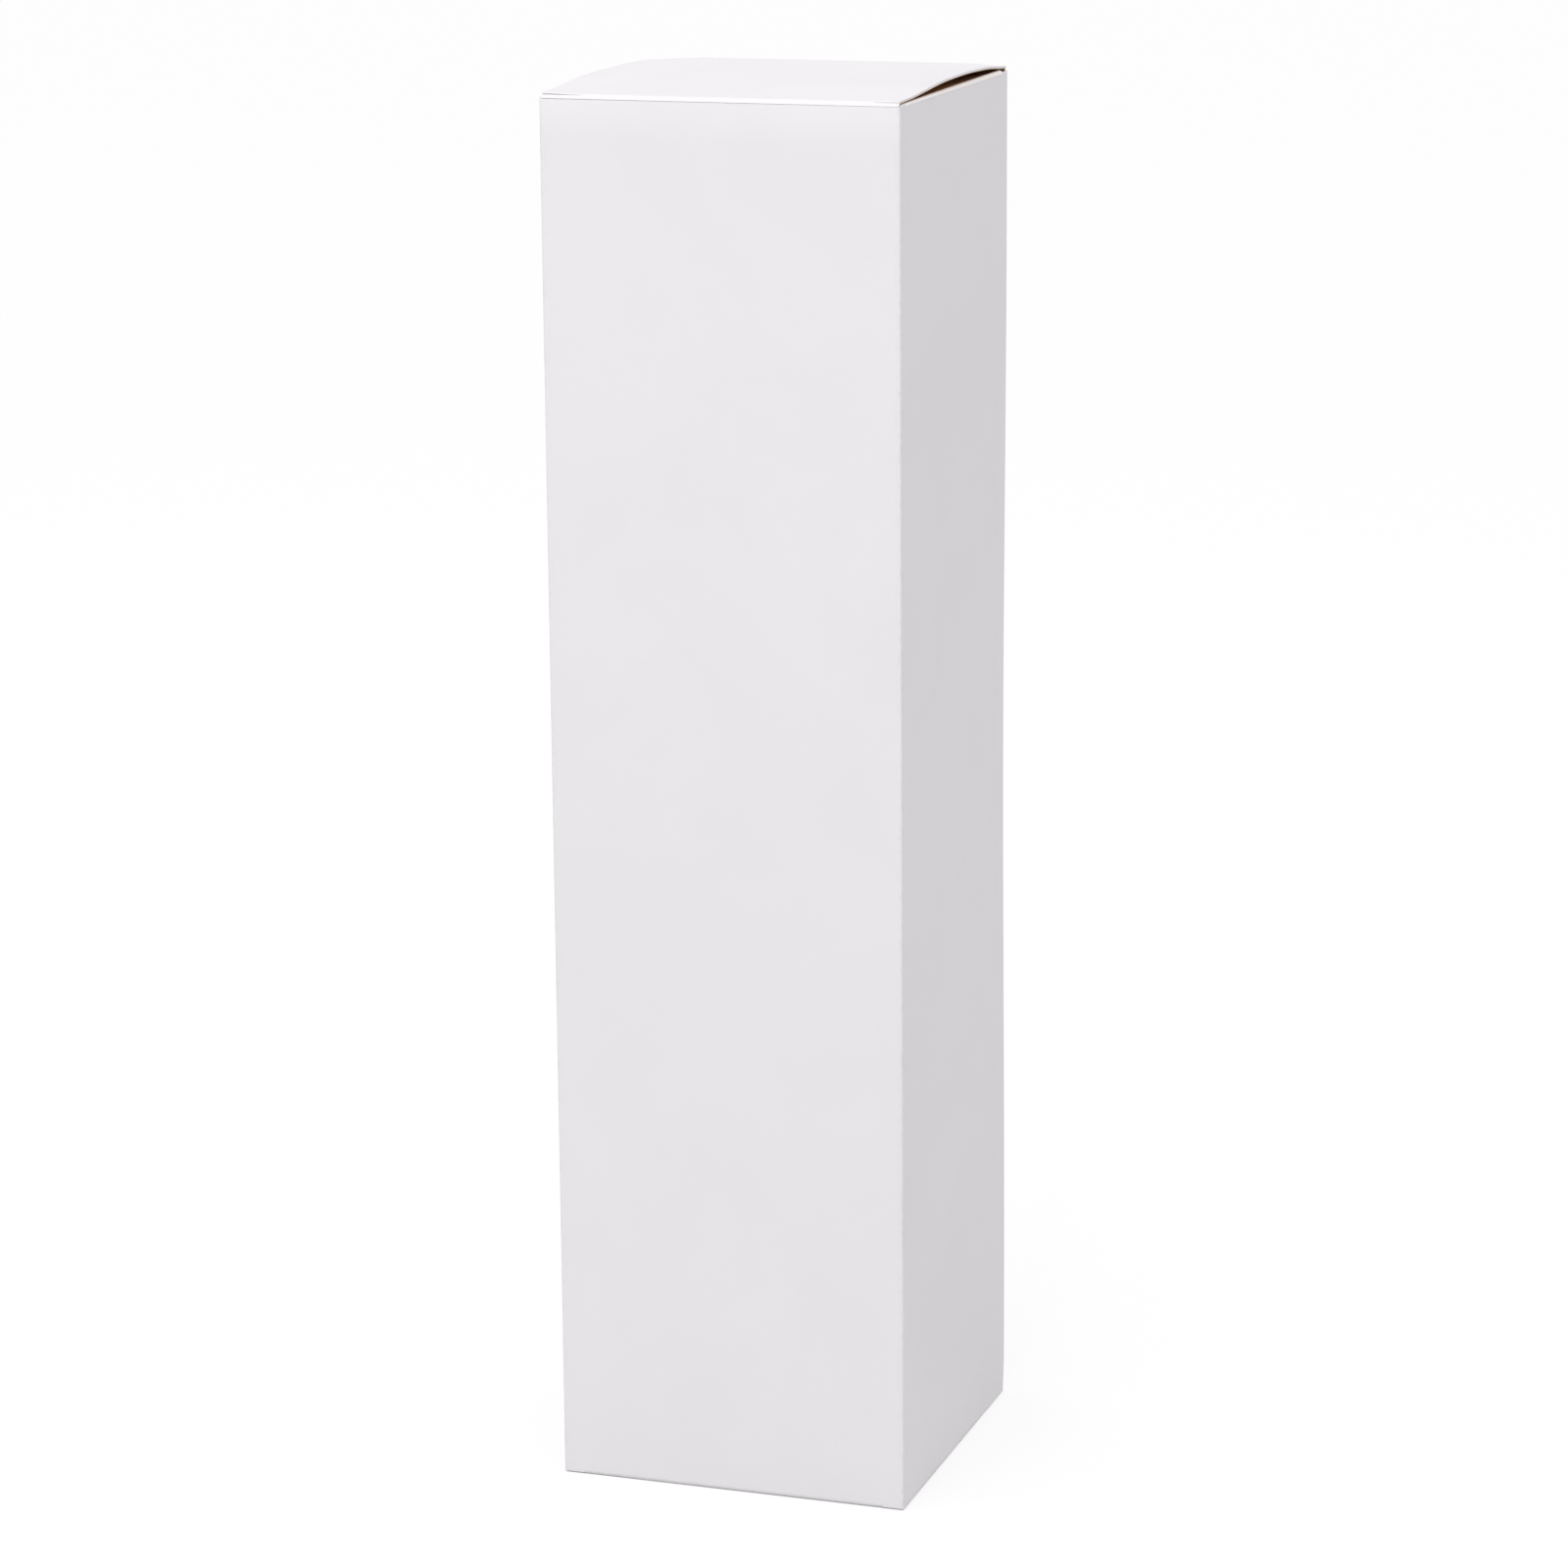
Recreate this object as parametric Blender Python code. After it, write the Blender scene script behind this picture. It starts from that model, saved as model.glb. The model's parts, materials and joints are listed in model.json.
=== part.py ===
"""Carton for one wine bottle, folded from a single blank of white-faced kraft paperboard.

Four walls with a glued seam at the back left corner, a tuck-in lid with slit locks at the top,
two dust flaps under the lid, and a bottom of four flaps that lock into each other. Each panel of
the blank is its own piece. Where the real board bends at a crease, two panels meet at a hairline,
and a panel that turns has a round edge on its crease, so that the hairline stays open as it turns.

Metres, +Z up. The origin is on the floor, under the middle of the carton. The front faces -Y.
"""

import math

import bmesh
import bpy
from mathutils import Matrix, Vector

# Driving sizes of the carton
WIDTH = 0.0889
DEPTH = 0.0889
HEIGHT = 0.3429  # from the floor to the side creases
BOARD = 0.0006  # thickness of the paperboard
HAIRLINE = 0.0003  # opening between two panels at a crease, and between two layers

# Creases
CREASE_INSIDE_RADIUS = 0.0003  # of the bend, on the inside of the board

# Front panel
FRONT_DROP = 0.00085  # how far its cut top edge lies below the side creases

# Glue flap, inside the back panel
GLUE_FLAP_WIDTH = 0.019
GLUE_FLAP_SLOPE = math.radians(15)  # of its two ends

# Lid
LID_SIDE_INSET = 0.0005
LID_BACK_RISE = 0.001  # its underside at the back crease, above the side creases
LID_FRONT_RISE = 0.00015  # the same at the front crease
LID_BOW = 0.002  # how far its middle springs up
LID_CORNER_RADIUS = 0.0012
SLIT_LENGTH = 0.010  # of the cut at each end of the front crease

# Tuck flap
TUCK_LENGTH = 0.0254
TUCK_SWING_CLEARANCE = 0.00045  # as its free edge swings out past the front panel
TUCK_SIDE_CLEARANCE = 0.0009
TUCK_TAPER = math.radians(3)
TUCK_CORNER_RADIUS = 0.008
TUCK_CREASE_DROP = 0.00045  # from the end of the lid's bend to the tuck crease
TUCK_SLIT_DROP = 0.0005  # of its cut edges beside the crease

# Dust flaps
DUST_MIDDLE_GAP = 0.0083  # between the free ends of the two
DUST_FRONT_CLEARANCE = 0.002  # behind the tuck flap's crease
DUST_BACK_CLEARANCE = 0.0046  # in front of the back of the carton
DUST_SHOULDER = 0.010  # length of the straight shoulder at the slit lock
DUST_SHOULDER_STEP = 0.003
DUST_FRONT_TAPER = math.radians(8)
DUST_BACK_TAPER = math.radians(20)
DUST_CORNER_RADIUS = 0.005
DUST_ROOT_RADIUS = 0.001

# Bottom flaps, which lie on each other in four levels
BOTTOM_LEVEL = BOARD + HAIRLINE  # rise from one level to the next
BOTTOM_CORNER_RADIUS = 0.002
FRONT_FLAP_INSET = 0.0055
FRONT_FLAP_SHORT_OF_MIDDLE = 0.0085
TONGUE_WIDTH = 0.040
TONGUE_REACH = 0.015  # past the middle of the bottom
TONGUE_TAPER = math.radians(8)
TONGUE_RAMP = 0.0068
TONGUE_RAMP_BEFORE_MIDDLE = 0.0002
SIDE_FLAP_RAMP = 0.0045
SIDE_FLAP_END_CLEARANCE = 0.002
SIDE_FLAP_SHORT_OF_MIDDLE = 0.002
SIDE_FLAP_HEEL_CLEARANCE = 0.003  # beside the tongue
SIDE_FLAP_BACK_REACH = 0.030  # along its crease, behind the middle
BACK_FLAP_INSET = 0.002
BACK_FLAP_RAMP = 0.008
NOTCH_CLEARANCE = 0.0015  # between the notch of the back flap and the tongue
LEG_REACH = 0.020  # past the middle of the bottom
LEG_TAPER = math.radians(14)

# Fineness of round stretches
CORNER_STEPS = 3
LID_BEND_STEPS = 6
ROUND_EDGE_STEPS = 6
OUTLINE_STEPS = 5
BOW_STEPS = 16

SHARP_ANGLE = math.radians(35)  # edges above it stay sharp in the shading
OVERRUN = 0.005  # how far a cutter reaches past what it cuts

# Colours and finish
COATED_WHITE = (0.83, 0.82, 0.84, 1)
COATED_SHADES = {"lid": 1.02, "wall": 1.0, "flap": 0.98, "bottom": 0.96}
COATED_ROUGHNESS = 0.55

FRONT, RIGHT, BACK, LEFT = range(4)  # quarter turns from the front, seen from above going left
HALF_BOARD = BOARD / 2
CREASE_RADIUS = CREASE_INSIDE_RADIUS + HALF_BOARD  # at the middle of the board
CORNER_RADIUS = CREASE_INSIDE_RADIUS + BOARD  # on the outside
HALF_HAIRLINE_ANGLE = HAIRLINE / 2 / CREASE_RADIUS
SEAM_DEPTH = BOARD + HAIRLINE  # from the back of the carton to the glue flap's outer face


def clear_scene():
    for obj in list(bpy.data.objects):
        bpy.data.objects.remove(obj)


def make_collection(name):
    collection = bpy.data.collections.new(name)
    bpy.context.scene.collection.children.link(collection)
    return collection


def principled(name, colour, roughness):
    material = bpy.data.materials.new(name)
    material.use_nodes = True
    shader = material.node_tree.nodes["Principled BSDF"]
    shader.inputs["Base Color"].default_value = colour
    shader.inputs["Roughness"].default_value = roughness
    shader.inputs["Metallic"].default_value = 0
    material.diffuse_color = colour
    return material


def coated(name, shade):
    red, green, blue, alpha = COATED_WHITE
    colour = (red * shade, green * shade, blue * shade, alpha)
    return principled(name + "_coated", colour, COATED_ROUGHNESS)


def arc(centre, radius, start, end, steps):
    """Points from one angle to another, both included."""
    points = []
    for step in range(steps + 1):
        angle = start + (end - start) * step / steps
        points.append(centre + radius * Vector((math.cos(angle), math.sin(angle))))
    return points


def ribbon(path, round_start=False):
    """Outline of a strip of board that has half its thickness on each side of the path."""
    directions = [(b - a).normalized() for a, b in zip(path, path[1:])]
    before = [directions[0]] + directions
    after = directions + [directions[-1]]
    left = []
    right = []
    for point, come, leave in zip(path, before, after):
        along = (come + leave).normalized()
        side = Vector((-along.y, along.x)) * (HALF_BOARD / along.dot(come))
        left.append(point + side)
        right.append(point - side)
    outline = right + left[::-1]
    if round_start:
        outline += round_cap(path[0], -directions[0])
    return outline


def round_cap(centre, outwards):
    """Inner points of the half circle that closes a strip, from its right side to its left."""
    heading = math.atan2(outwards.y, outwards.x)
    quarter = math.pi / 2
    return arc(centre, HALF_BOARD, heading - quarter, heading + quarter, ROUND_EDGE_STEPS)[1:-1]


def rounded(corners):
    """Outline through corners given as (x, y, radius), with each corner made an arc."""
    count = len(corners)
    points = []
    for index, (x, y, radius) in enumerate(corners):
        here = Vector((x, y))
        come = (here - Vector(corners[index - 1][:2])).normalized()
        leave = (Vector(corners[(index + 1) % count][:2]) - here).normalized()
        if not radius:
            points.append(here)
            continue
        turn = math.atan2(come.cross(leave), come.dot(leave))
        inwards = math.copysign(1, turn) * Vector((-come.y, come.x))
        start = here - come * radius * abs(math.tan(turn / 2))
        centre = start + inwards * radius
        first = math.atan2(-inwards.y, -inwards.x)
        points += arc(centre, radius, first, first + turn, OUTLINE_STEPS)
    return points


def mirrored(outline):
    return [(-x, y, radius) for x, y, radius in reversed(outline)]


def both_halves(half_outline):
    """Closes the right half of a symmetric outline with its mirror image."""
    return half_outline + mirrored(half_outline)


def prism(name, outline, low, high, along):
    """Solid with this outline, from low to high along X or Z. Along X, the outline is in Y and Z."""
    bm = bmesh.new()
    if along == "X":
        points = [Vector((low, a, b)) for a, b in outline]
        rise = Vector((high - low, 0, 0))
    else:
        points = [Vector((a, b, low)) for a, b in outline]
        rise = Vector((0, 0, high - low))
    base = bm.faces.new([bm.verts.new(point) for point in points])
    raised = bmesh.ops.extrude_face_region(bm, geom=[base])["geom"]
    corners = [item for item in raised if isinstance(item, bmesh.types.BMVert)]
    bmesh.ops.translate(bm, vec=rise, verts=corners)
    bmesh.ops.recalc_face_normals(bm, faces=bm.faces)
    mesh = bpy.data.meshes.new(name)
    bm.to_mesh(mesh)
    bm.free()
    return bpy.data.objects.new(name, mesh)


def trim(obj, outline, cutters):
    """Keeps only the part of a panel that lies inside this outline, seen along its local Z."""
    heights = [vertex.co.z for vertex in obj.data.vertices]
    low = min(heights) - OVERRUN
    high = max(heights) + OVERRUN
    cutter = prism(obj.name + "_outline", outline, low, high, "Z")
    cutter.parent = obj
    cutter.hide_render = True
    cutter.display_type = "WIRE"
    cutters.objects.link(cutter)
    cut = obj.modifiers.new("Cut outline", "BOOLEAN")
    cut.operation = "INTERSECT"
    cut.solver = "EXACT"
    cut.object = cutter


def finish(obj, material, parts, parent):
    obj.data.materials.append(material)
    obj.data.shade_smooth()
    obj.data.set_sharp_from_angle(angle=SHARP_ANGLE)
    obj.parent = parent
    parts.objects.link(obj)
    return obj


def place(obj, side, point, pitch=0.0):
    """Turns a panel drawn for the front to its own side of the carton, and puts its crease there."""
    obj.rotation_euler = (pitch, 0, side * math.pi / 2)
    obj.location = point


def half_corner(centre, start, end):
    return arc(centre, CREASE_RADIUS, start, end, CORNER_STEPS)


def wall_path(length, offset, start_inset=0.0, end_is_cut=False):
    """Middle line of a wall, drawn as the front one: along X at -offset, to the middle of each crease."""
    down = -math.pi / 2
    bend = math.pi / 4 - HALF_HAIRLINE_ANGLE
    level = CORNER_RADIUS - offset
    left_centre = Vector((start_inset + CORNER_RADIUS - length / 2, level))
    right_centre = Vector((length / 2 - CORNER_RADIUS, level))
    path = half_corner(left_centre, down - bend, down)
    if end_is_cut:
        return path + [Vector((length / 2, HALF_BOARD - offset))]
    return path + half_corner(right_centre, down, down + bend)


def flap(name, path, ends, outline, parts, cutters, parent, shade, round_start=True):
    """Panel drawn with its crease along X, reaching along +Y, and cut to its outline there."""
    panel = prism(name, ribbon(path, round_start=round_start), ends[0], ends[1], "X")
    trim(panel, rounded(outline), cutters)
    return finish(panel, coated(name, COATED_SHADES[shade]), parts, parent)


def make_walls(parts, parent):
    bottom = BOARD + HAIRLINE
    side_top = HEIGHT - BOARD - HAIRLINE
    back_top = HEIGHT + LID_BACK_RISE - HAIRLINE
    walls = {
        "front_panel": (FRONT, wall_path(WIDTH, DEPTH / 2), HEIGHT - FRONT_DROP),
        "right_panel": (RIGHT, wall_path(DEPTH, WIDTH / 2), side_top),
        "back_panel": (BACK, wall_path(WIDTH, DEPTH / 2, end_is_cut=True), back_top),
        "left_panel": (LEFT, wall_path(DEPTH, WIDTH / 2, start_inset=SEAM_DEPTH), side_top),
    }
    for name, (side, path, top) in walls.items():
        wall = prism(name, ribbon(path), bottom, top, "Z")
        place(wall, side, (0, 0, 0))
        finish(wall, coated(name, COATED_SHADES["wall"]), parts, parent)


def make_glue_flap(parts, cutters, parent):
    """The strip beyond the left panel, turned in at the back left crease and glued to the back panel."""
    bottom = BOARD + HAIRLINE
    top = HEIGHT - BOARD - HAIRLINE
    centre = Vector((CORNER_RADIUS, -CORNER_RADIUS))
    path = half_corner(centre, math.pi * 3 / 4 - HALF_HAIRLINE_ANGLE, math.pi / 2)
    path.append(Vector((GLUE_FLAP_WIDTH, -HALF_BOARD)))
    slope = GLUE_FLAP_WIDTH * math.tan(GLUE_FLAP_SLOPE)
    outline = [
        (bottom - OVERRUN, -OVERRUN, 0),
        (top + OVERRUN, -OVERRUN, 0),
        (top + OVERRUN, CORNER_RADIUS, 0),
        (top, CORNER_RADIUS, 0),
        (top - slope, GLUE_FLAP_WIDTH, 0),
        (bottom + slope, GLUE_FLAP_WIDTH, 0),
        (bottom, CORNER_RADIUS, 0),
        (bottom - OVERRUN, CORNER_RADIUS, 0),
    ]
    strip = flap("glue_flap", path, (bottom, top), outline, parts, cutters, parent, "flap", False)
    # Its crease runs upwards, it reaches to the right, and its coated face looks back.
    strip.rotation_euler = Matrix(((0, 1, 0), (0, 0, 1), (1, 0, 0))).to_euler()
    strip.location = (-WIDTH / 2, DEPTH / 2 - SEAM_DEPTH, 0)


def lid_path():
    """Side view of the lid from its crease: up and over in a bow, then down round the front crease."""
    length = DEPTH - BOARD - CREASE_RADIUS
    fall = LID_FRONT_RISE - LID_BACK_RISE
    points = []
    for step in range(BOW_STEPS + 1):
        share = step / BOW_STEPS
        points.append(Vector((length * share, fall * share + 4 * LID_BOW * share * (1 - share))))
    slope = math.atan2(fall - 4 * LID_BOW, length)
    centre = points[-1] + CREASE_RADIUS * Vector((math.sin(slope), -math.cos(slope)))
    return points + arc(centre, CREASE_RADIUS, math.pi / 2 + slope, 0, LID_BEND_STEPS)[1:]


def make_lid(parts, cutters, parent):
    path = lid_path()
    half = WIDTH / 2 - LID_SIDE_INSET
    crease = half - SLIT_LENGTH
    bow_end = path[BOW_STEPS].x
    front = [(crease, bow_end, 0), (crease, DEPTH + OVERRUN, 0)]
    half_outline = [(half, -OVERRUN, 0), (half, bow_end, LID_CORNER_RADIUS)] + front
    lid = flap("lid_panel", path, (-half, half), both_halves(half_outline), parts, cutters, parent, "lid")
    hinge = Vector((0, DEPTH / 2 - HALF_BOARD, HEIGHT + LID_BACK_RISE + HALF_BOARD))
    place(lid, BACK, hinge)
    return hinge, path[-1]


def tuck_lean(hinge, crease):
    """How far the tuck flap leans inwards, so that it swings with the lid past the front panel."""
    reach = hinge.y - crease.y
    drop = hinge.z - crease.z
    to_crease = math.hypot(reach, drop)
    to_free_edge = math.hypot(TUCK_LENGTH, HALF_BOARD)
    swing = DEPTH - HALF_BOARD - BOARD - TUCK_SWING_CLEARANCE
    cosine = (swing**2 - to_crease**2 - to_free_edge**2) / (2 * to_crease * to_free_edge)
    upright = math.pi / 2
    return math.acos(cosine) - upright + math.atan2(drop, reach) + math.atan2(HALF_BOARD, TUCK_LENGTH)


def make_tuck_flap(hinge, bend_end, parts, cutters, parent):
    half = WIDTH / 2 - BOARD - TUCK_SIDE_CLEARANCE
    crease = WIDTH / 2 - LID_SIDE_INSET - SLIT_LENGTH
    foot = half - TUCK_LENGTH * math.tan(TUCK_TAPER)
    half_outline = [
        (crease, -OVERRUN, 0),
        (crease, TUCK_SLIT_DROP, 0),
        (half, TUCK_SLIT_DROP, 0),
        (foot, TUCK_LENGTH, TUCK_CORNER_RADIUS),
    ]
    path = [Vector((0, 0)), Vector((TUCK_LENGTH + OVERRUN, 0))]
    outline = both_halves(half_outline)
    tuck = flap("tuck_flap", path, (-half, half), outline, parts, cutters, parent, "flap")
    crease_y = BOARD + HAIRLINE + HALF_BOARD - DEPTH / 2
    tuck_crease = Vector((0, crease_y, hinge.z + bend_end.y - TUCK_CREASE_DROP))
    place(tuck, BACK, tuck_crease, -math.pi / 2 - tuck_lean(hinge, tuck_crease))


def make_dust_flap(name, side, parts, cutters, parent):
    """A flap on the top crease of a side wall. Its front edge is the one by the slit lock."""
    length = WIDTH / 2 - HALF_BOARD - DUST_MIDDLE_GAP / 2
    front = BOARD + HAIRLINE + BOARD + DUST_FRONT_CLEARANCE - DEPTH / 2
    back = DEPTH / 2 - DUST_BACK_CLEARANCE
    neck = front + DUST_SHOULDER_STEP
    past_shoulder = DUST_SHOULDER + DUST_SHOULDER_STEP
    front_end = neck + (length - past_shoulder) * math.tan(DUST_FRONT_TAPER)
    back_end = back - length * math.tan(DUST_BACK_TAPER)
    outline = [
        (front, -OVERRUN, 0),
        (back, -OVERRUN, 0),
        (back, 0, 0),
        (back_end, length, DUST_CORNER_RADIUS),
        (front_end, length, DUST_CORNER_RADIUS),
        (neck, past_shoulder, DUST_ROOT_RADIUS),
        (front, DUST_SHOULDER, DUST_ROOT_RADIUS),
    ]
    if side == LEFT:
        outline = mirrored(outline)
    path = [Vector((0, 0)), Vector((length + OVERRUN, 0))]
    ends = (-DEPTH / 2, DEPTH / 2)
    dust = flap(name, path, ends, outline, parts, cutters, parent, "flap")
    crease_x = (WIDTH / 2 - HALF_BOARD) * (1 if side == RIGHT else -1)
    place(dust, side, (crease_x, 0, HEIGHT - HALF_BOARD))


def make_bottom_front(parts, cutters, parent):
    """The flap that is folded last: its tongue climbs through the notch and lies on the back flap."""
    middle = DEPTH / 2 - HALF_BOARD
    ramp_end = middle - TONGUE_RAMP_BEFORE_MIDDLE
    tip = middle + TONGUE_REACH
    top_level = 3 * BOTTOM_LEVEL
    path = [
        Vector((0, 0)),
        Vector((ramp_end - TONGUE_RAMP, 0)),
        Vector((ramp_end, top_level)),
        Vector((tip + OVERRUN, top_level)),
    ]
    half = WIDTH / 2 - FRONT_FLAP_INSET
    shoulder = middle - FRONT_FLAP_SHORT_OF_MIDDLE
    root = TONGUE_WIDTH / 2
    half_outline = [
        (half, -OVERRUN, 0),
        (half, shoulder, BOTTOM_CORNER_RADIUS),
        (root, shoulder, BOTTOM_CORNER_RADIUS / 2),
        (root - (tip - shoulder) * math.tan(TONGUE_TAPER), tip, BOTTOM_CORNER_RADIUS),
    ]
    outline = both_halves(half_outline)
    front = flap("bottom_flap_front", path, (-half, half), outline, parts, cutters, parent, "bottom")
    place(front, FRONT, (0, -middle, HALF_BOARD))


def make_bottom_back(parts, cutters, parent):
    """The flap above the side flaps. Its two legs reach past the middle, on each side of the notch."""
    middle = DEPTH / 2 - HALF_BOARD
    tip = middle + LEG_REACH
    level = 2 * BOTTOM_LEVEL
    path = [
        Vector((0, 0)),
        Vector((SEAM_DEPTH, 0)),
        Vector((BACK_FLAP_RAMP, level)),
        Vector((tip + OVERRUN, level)),
    ]
    half = WIDTH / 2 - BACK_FLAP_INSET
    notch = middle - NOTCH_CLEARANCE
    notch_side = TONGUE_WIDTH / 2 + NOTCH_CLEARANCE
    narrowing = LEG_REACH * math.tan(LEG_TAPER)
    half_outline = [
        (half, -OVERRUN, 0),
        (half, middle, BOTTOM_CORNER_RADIUS),
        (half - narrowing, tip, BOTTOM_CORNER_RADIUS),
        (notch_side + narrowing, tip, BOTTOM_CORNER_RADIUS),
        (notch_side, notch, BOTTOM_CORNER_RADIUS / 2),
    ]
    outline = both_halves(half_outline)
    back = flap("bottom_flap_back", path, (-half, half), outline, parts, cutters, parent, "bottom")
    place(back, BACK, (0, middle, HALF_BOARD))


def make_bottom_side(name, side, parts, cutters, parent):
    """A flap above the front one: broad in front, cut back beside the tongue and sloped behind it."""
    middle = WIDTH / 2 - HALF_BOARD
    reach = middle - SIDE_FLAP_SHORT_OF_MIDDLE
    heel = middle - TONGUE_WIDTH / 2 - SIDE_FLAP_HEEL_CLEARANCE
    front = SIDE_FLAP_END_CLEARANCE - DEPTH / 2
    broad_end = -TONGUE_RAMP - TONGUE_RAMP_BEFORE_MIDDLE - SIDE_FLAP_END_CLEARANCE
    outline = [
        (front, -OVERRUN, 0),
        (SIDE_FLAP_BACK_REACH, -OVERRUN, 0),
        (SIDE_FLAP_BACK_REACH, 0, 0),
        (SIDE_FLAP_END_CLEARANCE, heel, BOTTOM_CORNER_RADIUS),
        (broad_end, heel, BOTTOM_CORNER_RADIUS / 2),
        (broad_end, reach, BOTTOM_CORNER_RADIUS),
        (front, reach, BOTTOM_CORNER_RADIUS),
    ]
    if side == LEFT:
        outline = mirrored(outline)
    path = [
        Vector((0, 0)),
        Vector((SEAM_DEPTH, 0)),
        Vector((SIDE_FLAP_RAMP, BOTTOM_LEVEL)),
        Vector((middle, BOTTOM_LEVEL)),
    ]
    ends = (-DEPTH / 2, DEPTH / 2)
    panel = flap(name, path, ends, outline, parts, cutters, parent, "bottom")
    place(panel, side, (middle * (1 if side == RIGHT else -1), 0, HALF_BOARD))


def main():
    clear_scene()
    parts = make_collection("wine_carton")
    cutters = make_collection("wine_carton_cutters")
    carton = bpy.data.objects.new("wine_carton_origin", None)
    parts.objects.link(carton)
    make_walls(parts, carton)
    make_glue_flap(parts, cutters, carton)
    hinge, bend_end = make_lid(parts, cutters, carton)
    make_tuck_flap(hinge, bend_end, parts, cutters, carton)
    make_dust_flap("dust_flap_right", RIGHT, parts, cutters, carton)
    make_dust_flap("dust_flap_left", LEFT, parts, cutters, carton)
    make_bottom_front(parts, cutters, carton)
    make_bottom_side("bottom_flap_right", RIGHT, parts, cutters, carton)
    make_bottom_side("bottom_flap_left", LEFT, parts, cutters, carton)
    make_bottom_back(parts, cutters, carton)


main()
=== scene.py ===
"""Looks of the wine carton: its folded paperboard, in plain soft studio light, on a pale floor."""
import json
import math

import bmesh
import bpy
from mathutils import Matrix, Vector, noise

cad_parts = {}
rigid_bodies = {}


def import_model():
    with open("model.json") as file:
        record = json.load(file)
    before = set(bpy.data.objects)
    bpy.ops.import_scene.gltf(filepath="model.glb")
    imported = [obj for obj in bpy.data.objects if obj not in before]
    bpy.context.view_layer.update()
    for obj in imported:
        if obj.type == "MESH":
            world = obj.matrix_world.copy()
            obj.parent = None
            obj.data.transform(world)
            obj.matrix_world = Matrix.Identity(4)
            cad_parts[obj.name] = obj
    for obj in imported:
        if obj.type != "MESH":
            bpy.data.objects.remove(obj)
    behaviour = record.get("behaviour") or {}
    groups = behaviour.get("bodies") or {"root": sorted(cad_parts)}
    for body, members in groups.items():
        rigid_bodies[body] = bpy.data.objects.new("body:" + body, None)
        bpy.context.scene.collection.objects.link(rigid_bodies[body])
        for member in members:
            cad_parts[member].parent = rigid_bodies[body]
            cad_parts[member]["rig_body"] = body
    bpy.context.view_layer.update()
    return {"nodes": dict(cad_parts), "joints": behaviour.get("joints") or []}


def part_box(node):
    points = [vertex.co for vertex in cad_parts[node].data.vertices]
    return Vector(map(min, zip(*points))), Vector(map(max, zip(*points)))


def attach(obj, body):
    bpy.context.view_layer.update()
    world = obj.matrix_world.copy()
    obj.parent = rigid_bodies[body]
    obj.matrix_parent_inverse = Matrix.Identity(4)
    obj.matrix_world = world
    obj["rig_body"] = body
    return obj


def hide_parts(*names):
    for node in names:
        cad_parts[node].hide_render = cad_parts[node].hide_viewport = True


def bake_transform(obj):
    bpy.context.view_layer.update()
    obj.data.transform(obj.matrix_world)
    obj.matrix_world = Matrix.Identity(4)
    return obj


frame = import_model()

# The board and its creases, in metres
BOARD = 0.0006
HALF_BOARD = BOARD / 2
HAIRLINE = 0.0003
CREASE_INSIDE_RADIUS = 0.0003
CREASE_RADIUS = CREASE_INSIDE_RADIUS + HALF_BOARD
CORNER_RADIUS = CREASE_INSIDE_RADIUS + BOARD
UPRIGHT_RADIUS = 0.0001 + BOARD  # of the upright creases, pressed flat once when the seam was glued
CELL = 0.009  # side of a mesh cell on a flat stretch
CORNER_STEPS = 8
OUTLINE_STEPS = 7
SHARP_ANGLE = math.radians(40)
COATED_TILT = 0.3  # a face of the flat board that points up more than this is coated
KRAFT_TILT = -0.9  # and one that points down more than this is brown
SIDEWAYS_TILT = 0.1
ROUND_EDGE_RADIUS = HALF_BOARD * 0.98  # of the lid's edge in the back crease
ROUND_EDGE_STEPS = 5
ROUND_EDGE_KRAFT = BOARD * 0.8  # depth at which the brown face begins there

# Places, from the frame
HINGES = {joint["name"]: Vector(joint["pos_m"]) for joint in frame["joints"]}
HALF_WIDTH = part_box("right_panel")[1].x
HALF_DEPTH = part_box("back_panel")[1].y
WIDTH = HALF_WIDTH * 2
DEPTH = HALF_DEPTH * 2
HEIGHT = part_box("dust_flap_right")[1].z
FRONT_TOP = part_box("front_panel")[1].z
LID_FRONT = -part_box("lid_panel")[0].y

# Free cut edges of the walls, beside the flaps that are creased on to them
FREE_FOOT = 0.00035
FRONT_FREE_TOP = -0.0004  # from the side creases up, so it lies below them
BACK_FREE_TOP = -0.0003
FREE_TOP_RUN = 0.0016  # length over which a free edge falls to the front panel's top
DIE_ROLL = 0.00013  # radius of a cut edge on the side the knife came from
DIE_ROLL_STEPS = 2

# Lid: heights of its middle above the back crease's axis, at places from it to the front bend
LID_SIDE_INSET = 0.0005
LID_HEIGHTS = (
    (0.0000, -0.00030),
    (0.0079, 0.00003),
    (0.0182, 0.00045),
    (0.0307, 0.00077),
    (0.0430, 0.00073),
    (0.0551, 0.00050),
    (0.0670, -0.00008),
    (0.0763, -0.00070),
    (0.0825, -0.00105),
)
LID_FRONT_HEIGHT = -0.001288  # where the bend begins
LID_FRONT_RUN = 0.005  # from the last of those places to the bend, for its slope there
LID_BEND_RADII = (0.00045, 0.00035)  # before and after its slanting stretch
LID_BEND_SLANT = math.radians(47)
LID_BEND_END = math.radians(80)
LID_BEND_GAP = 0.00005  # between the end of its bend and the front panel's edge
BOW_STEPS = 34
LID_BEND_STEPS = 5
LID_CORNER_RADIUS = 0.0004
LID_CORNER_DROOP = 0.00045  # of its two back corners
LID_DROOP_RUN = 0.008
LID_DROOP_LENGTH = 0.016
BACK_LIP = -0.00010  # how far the back panel reaches up, outside, towards the lid's round edge
BACK_INNER_LIP = -0.00002

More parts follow.
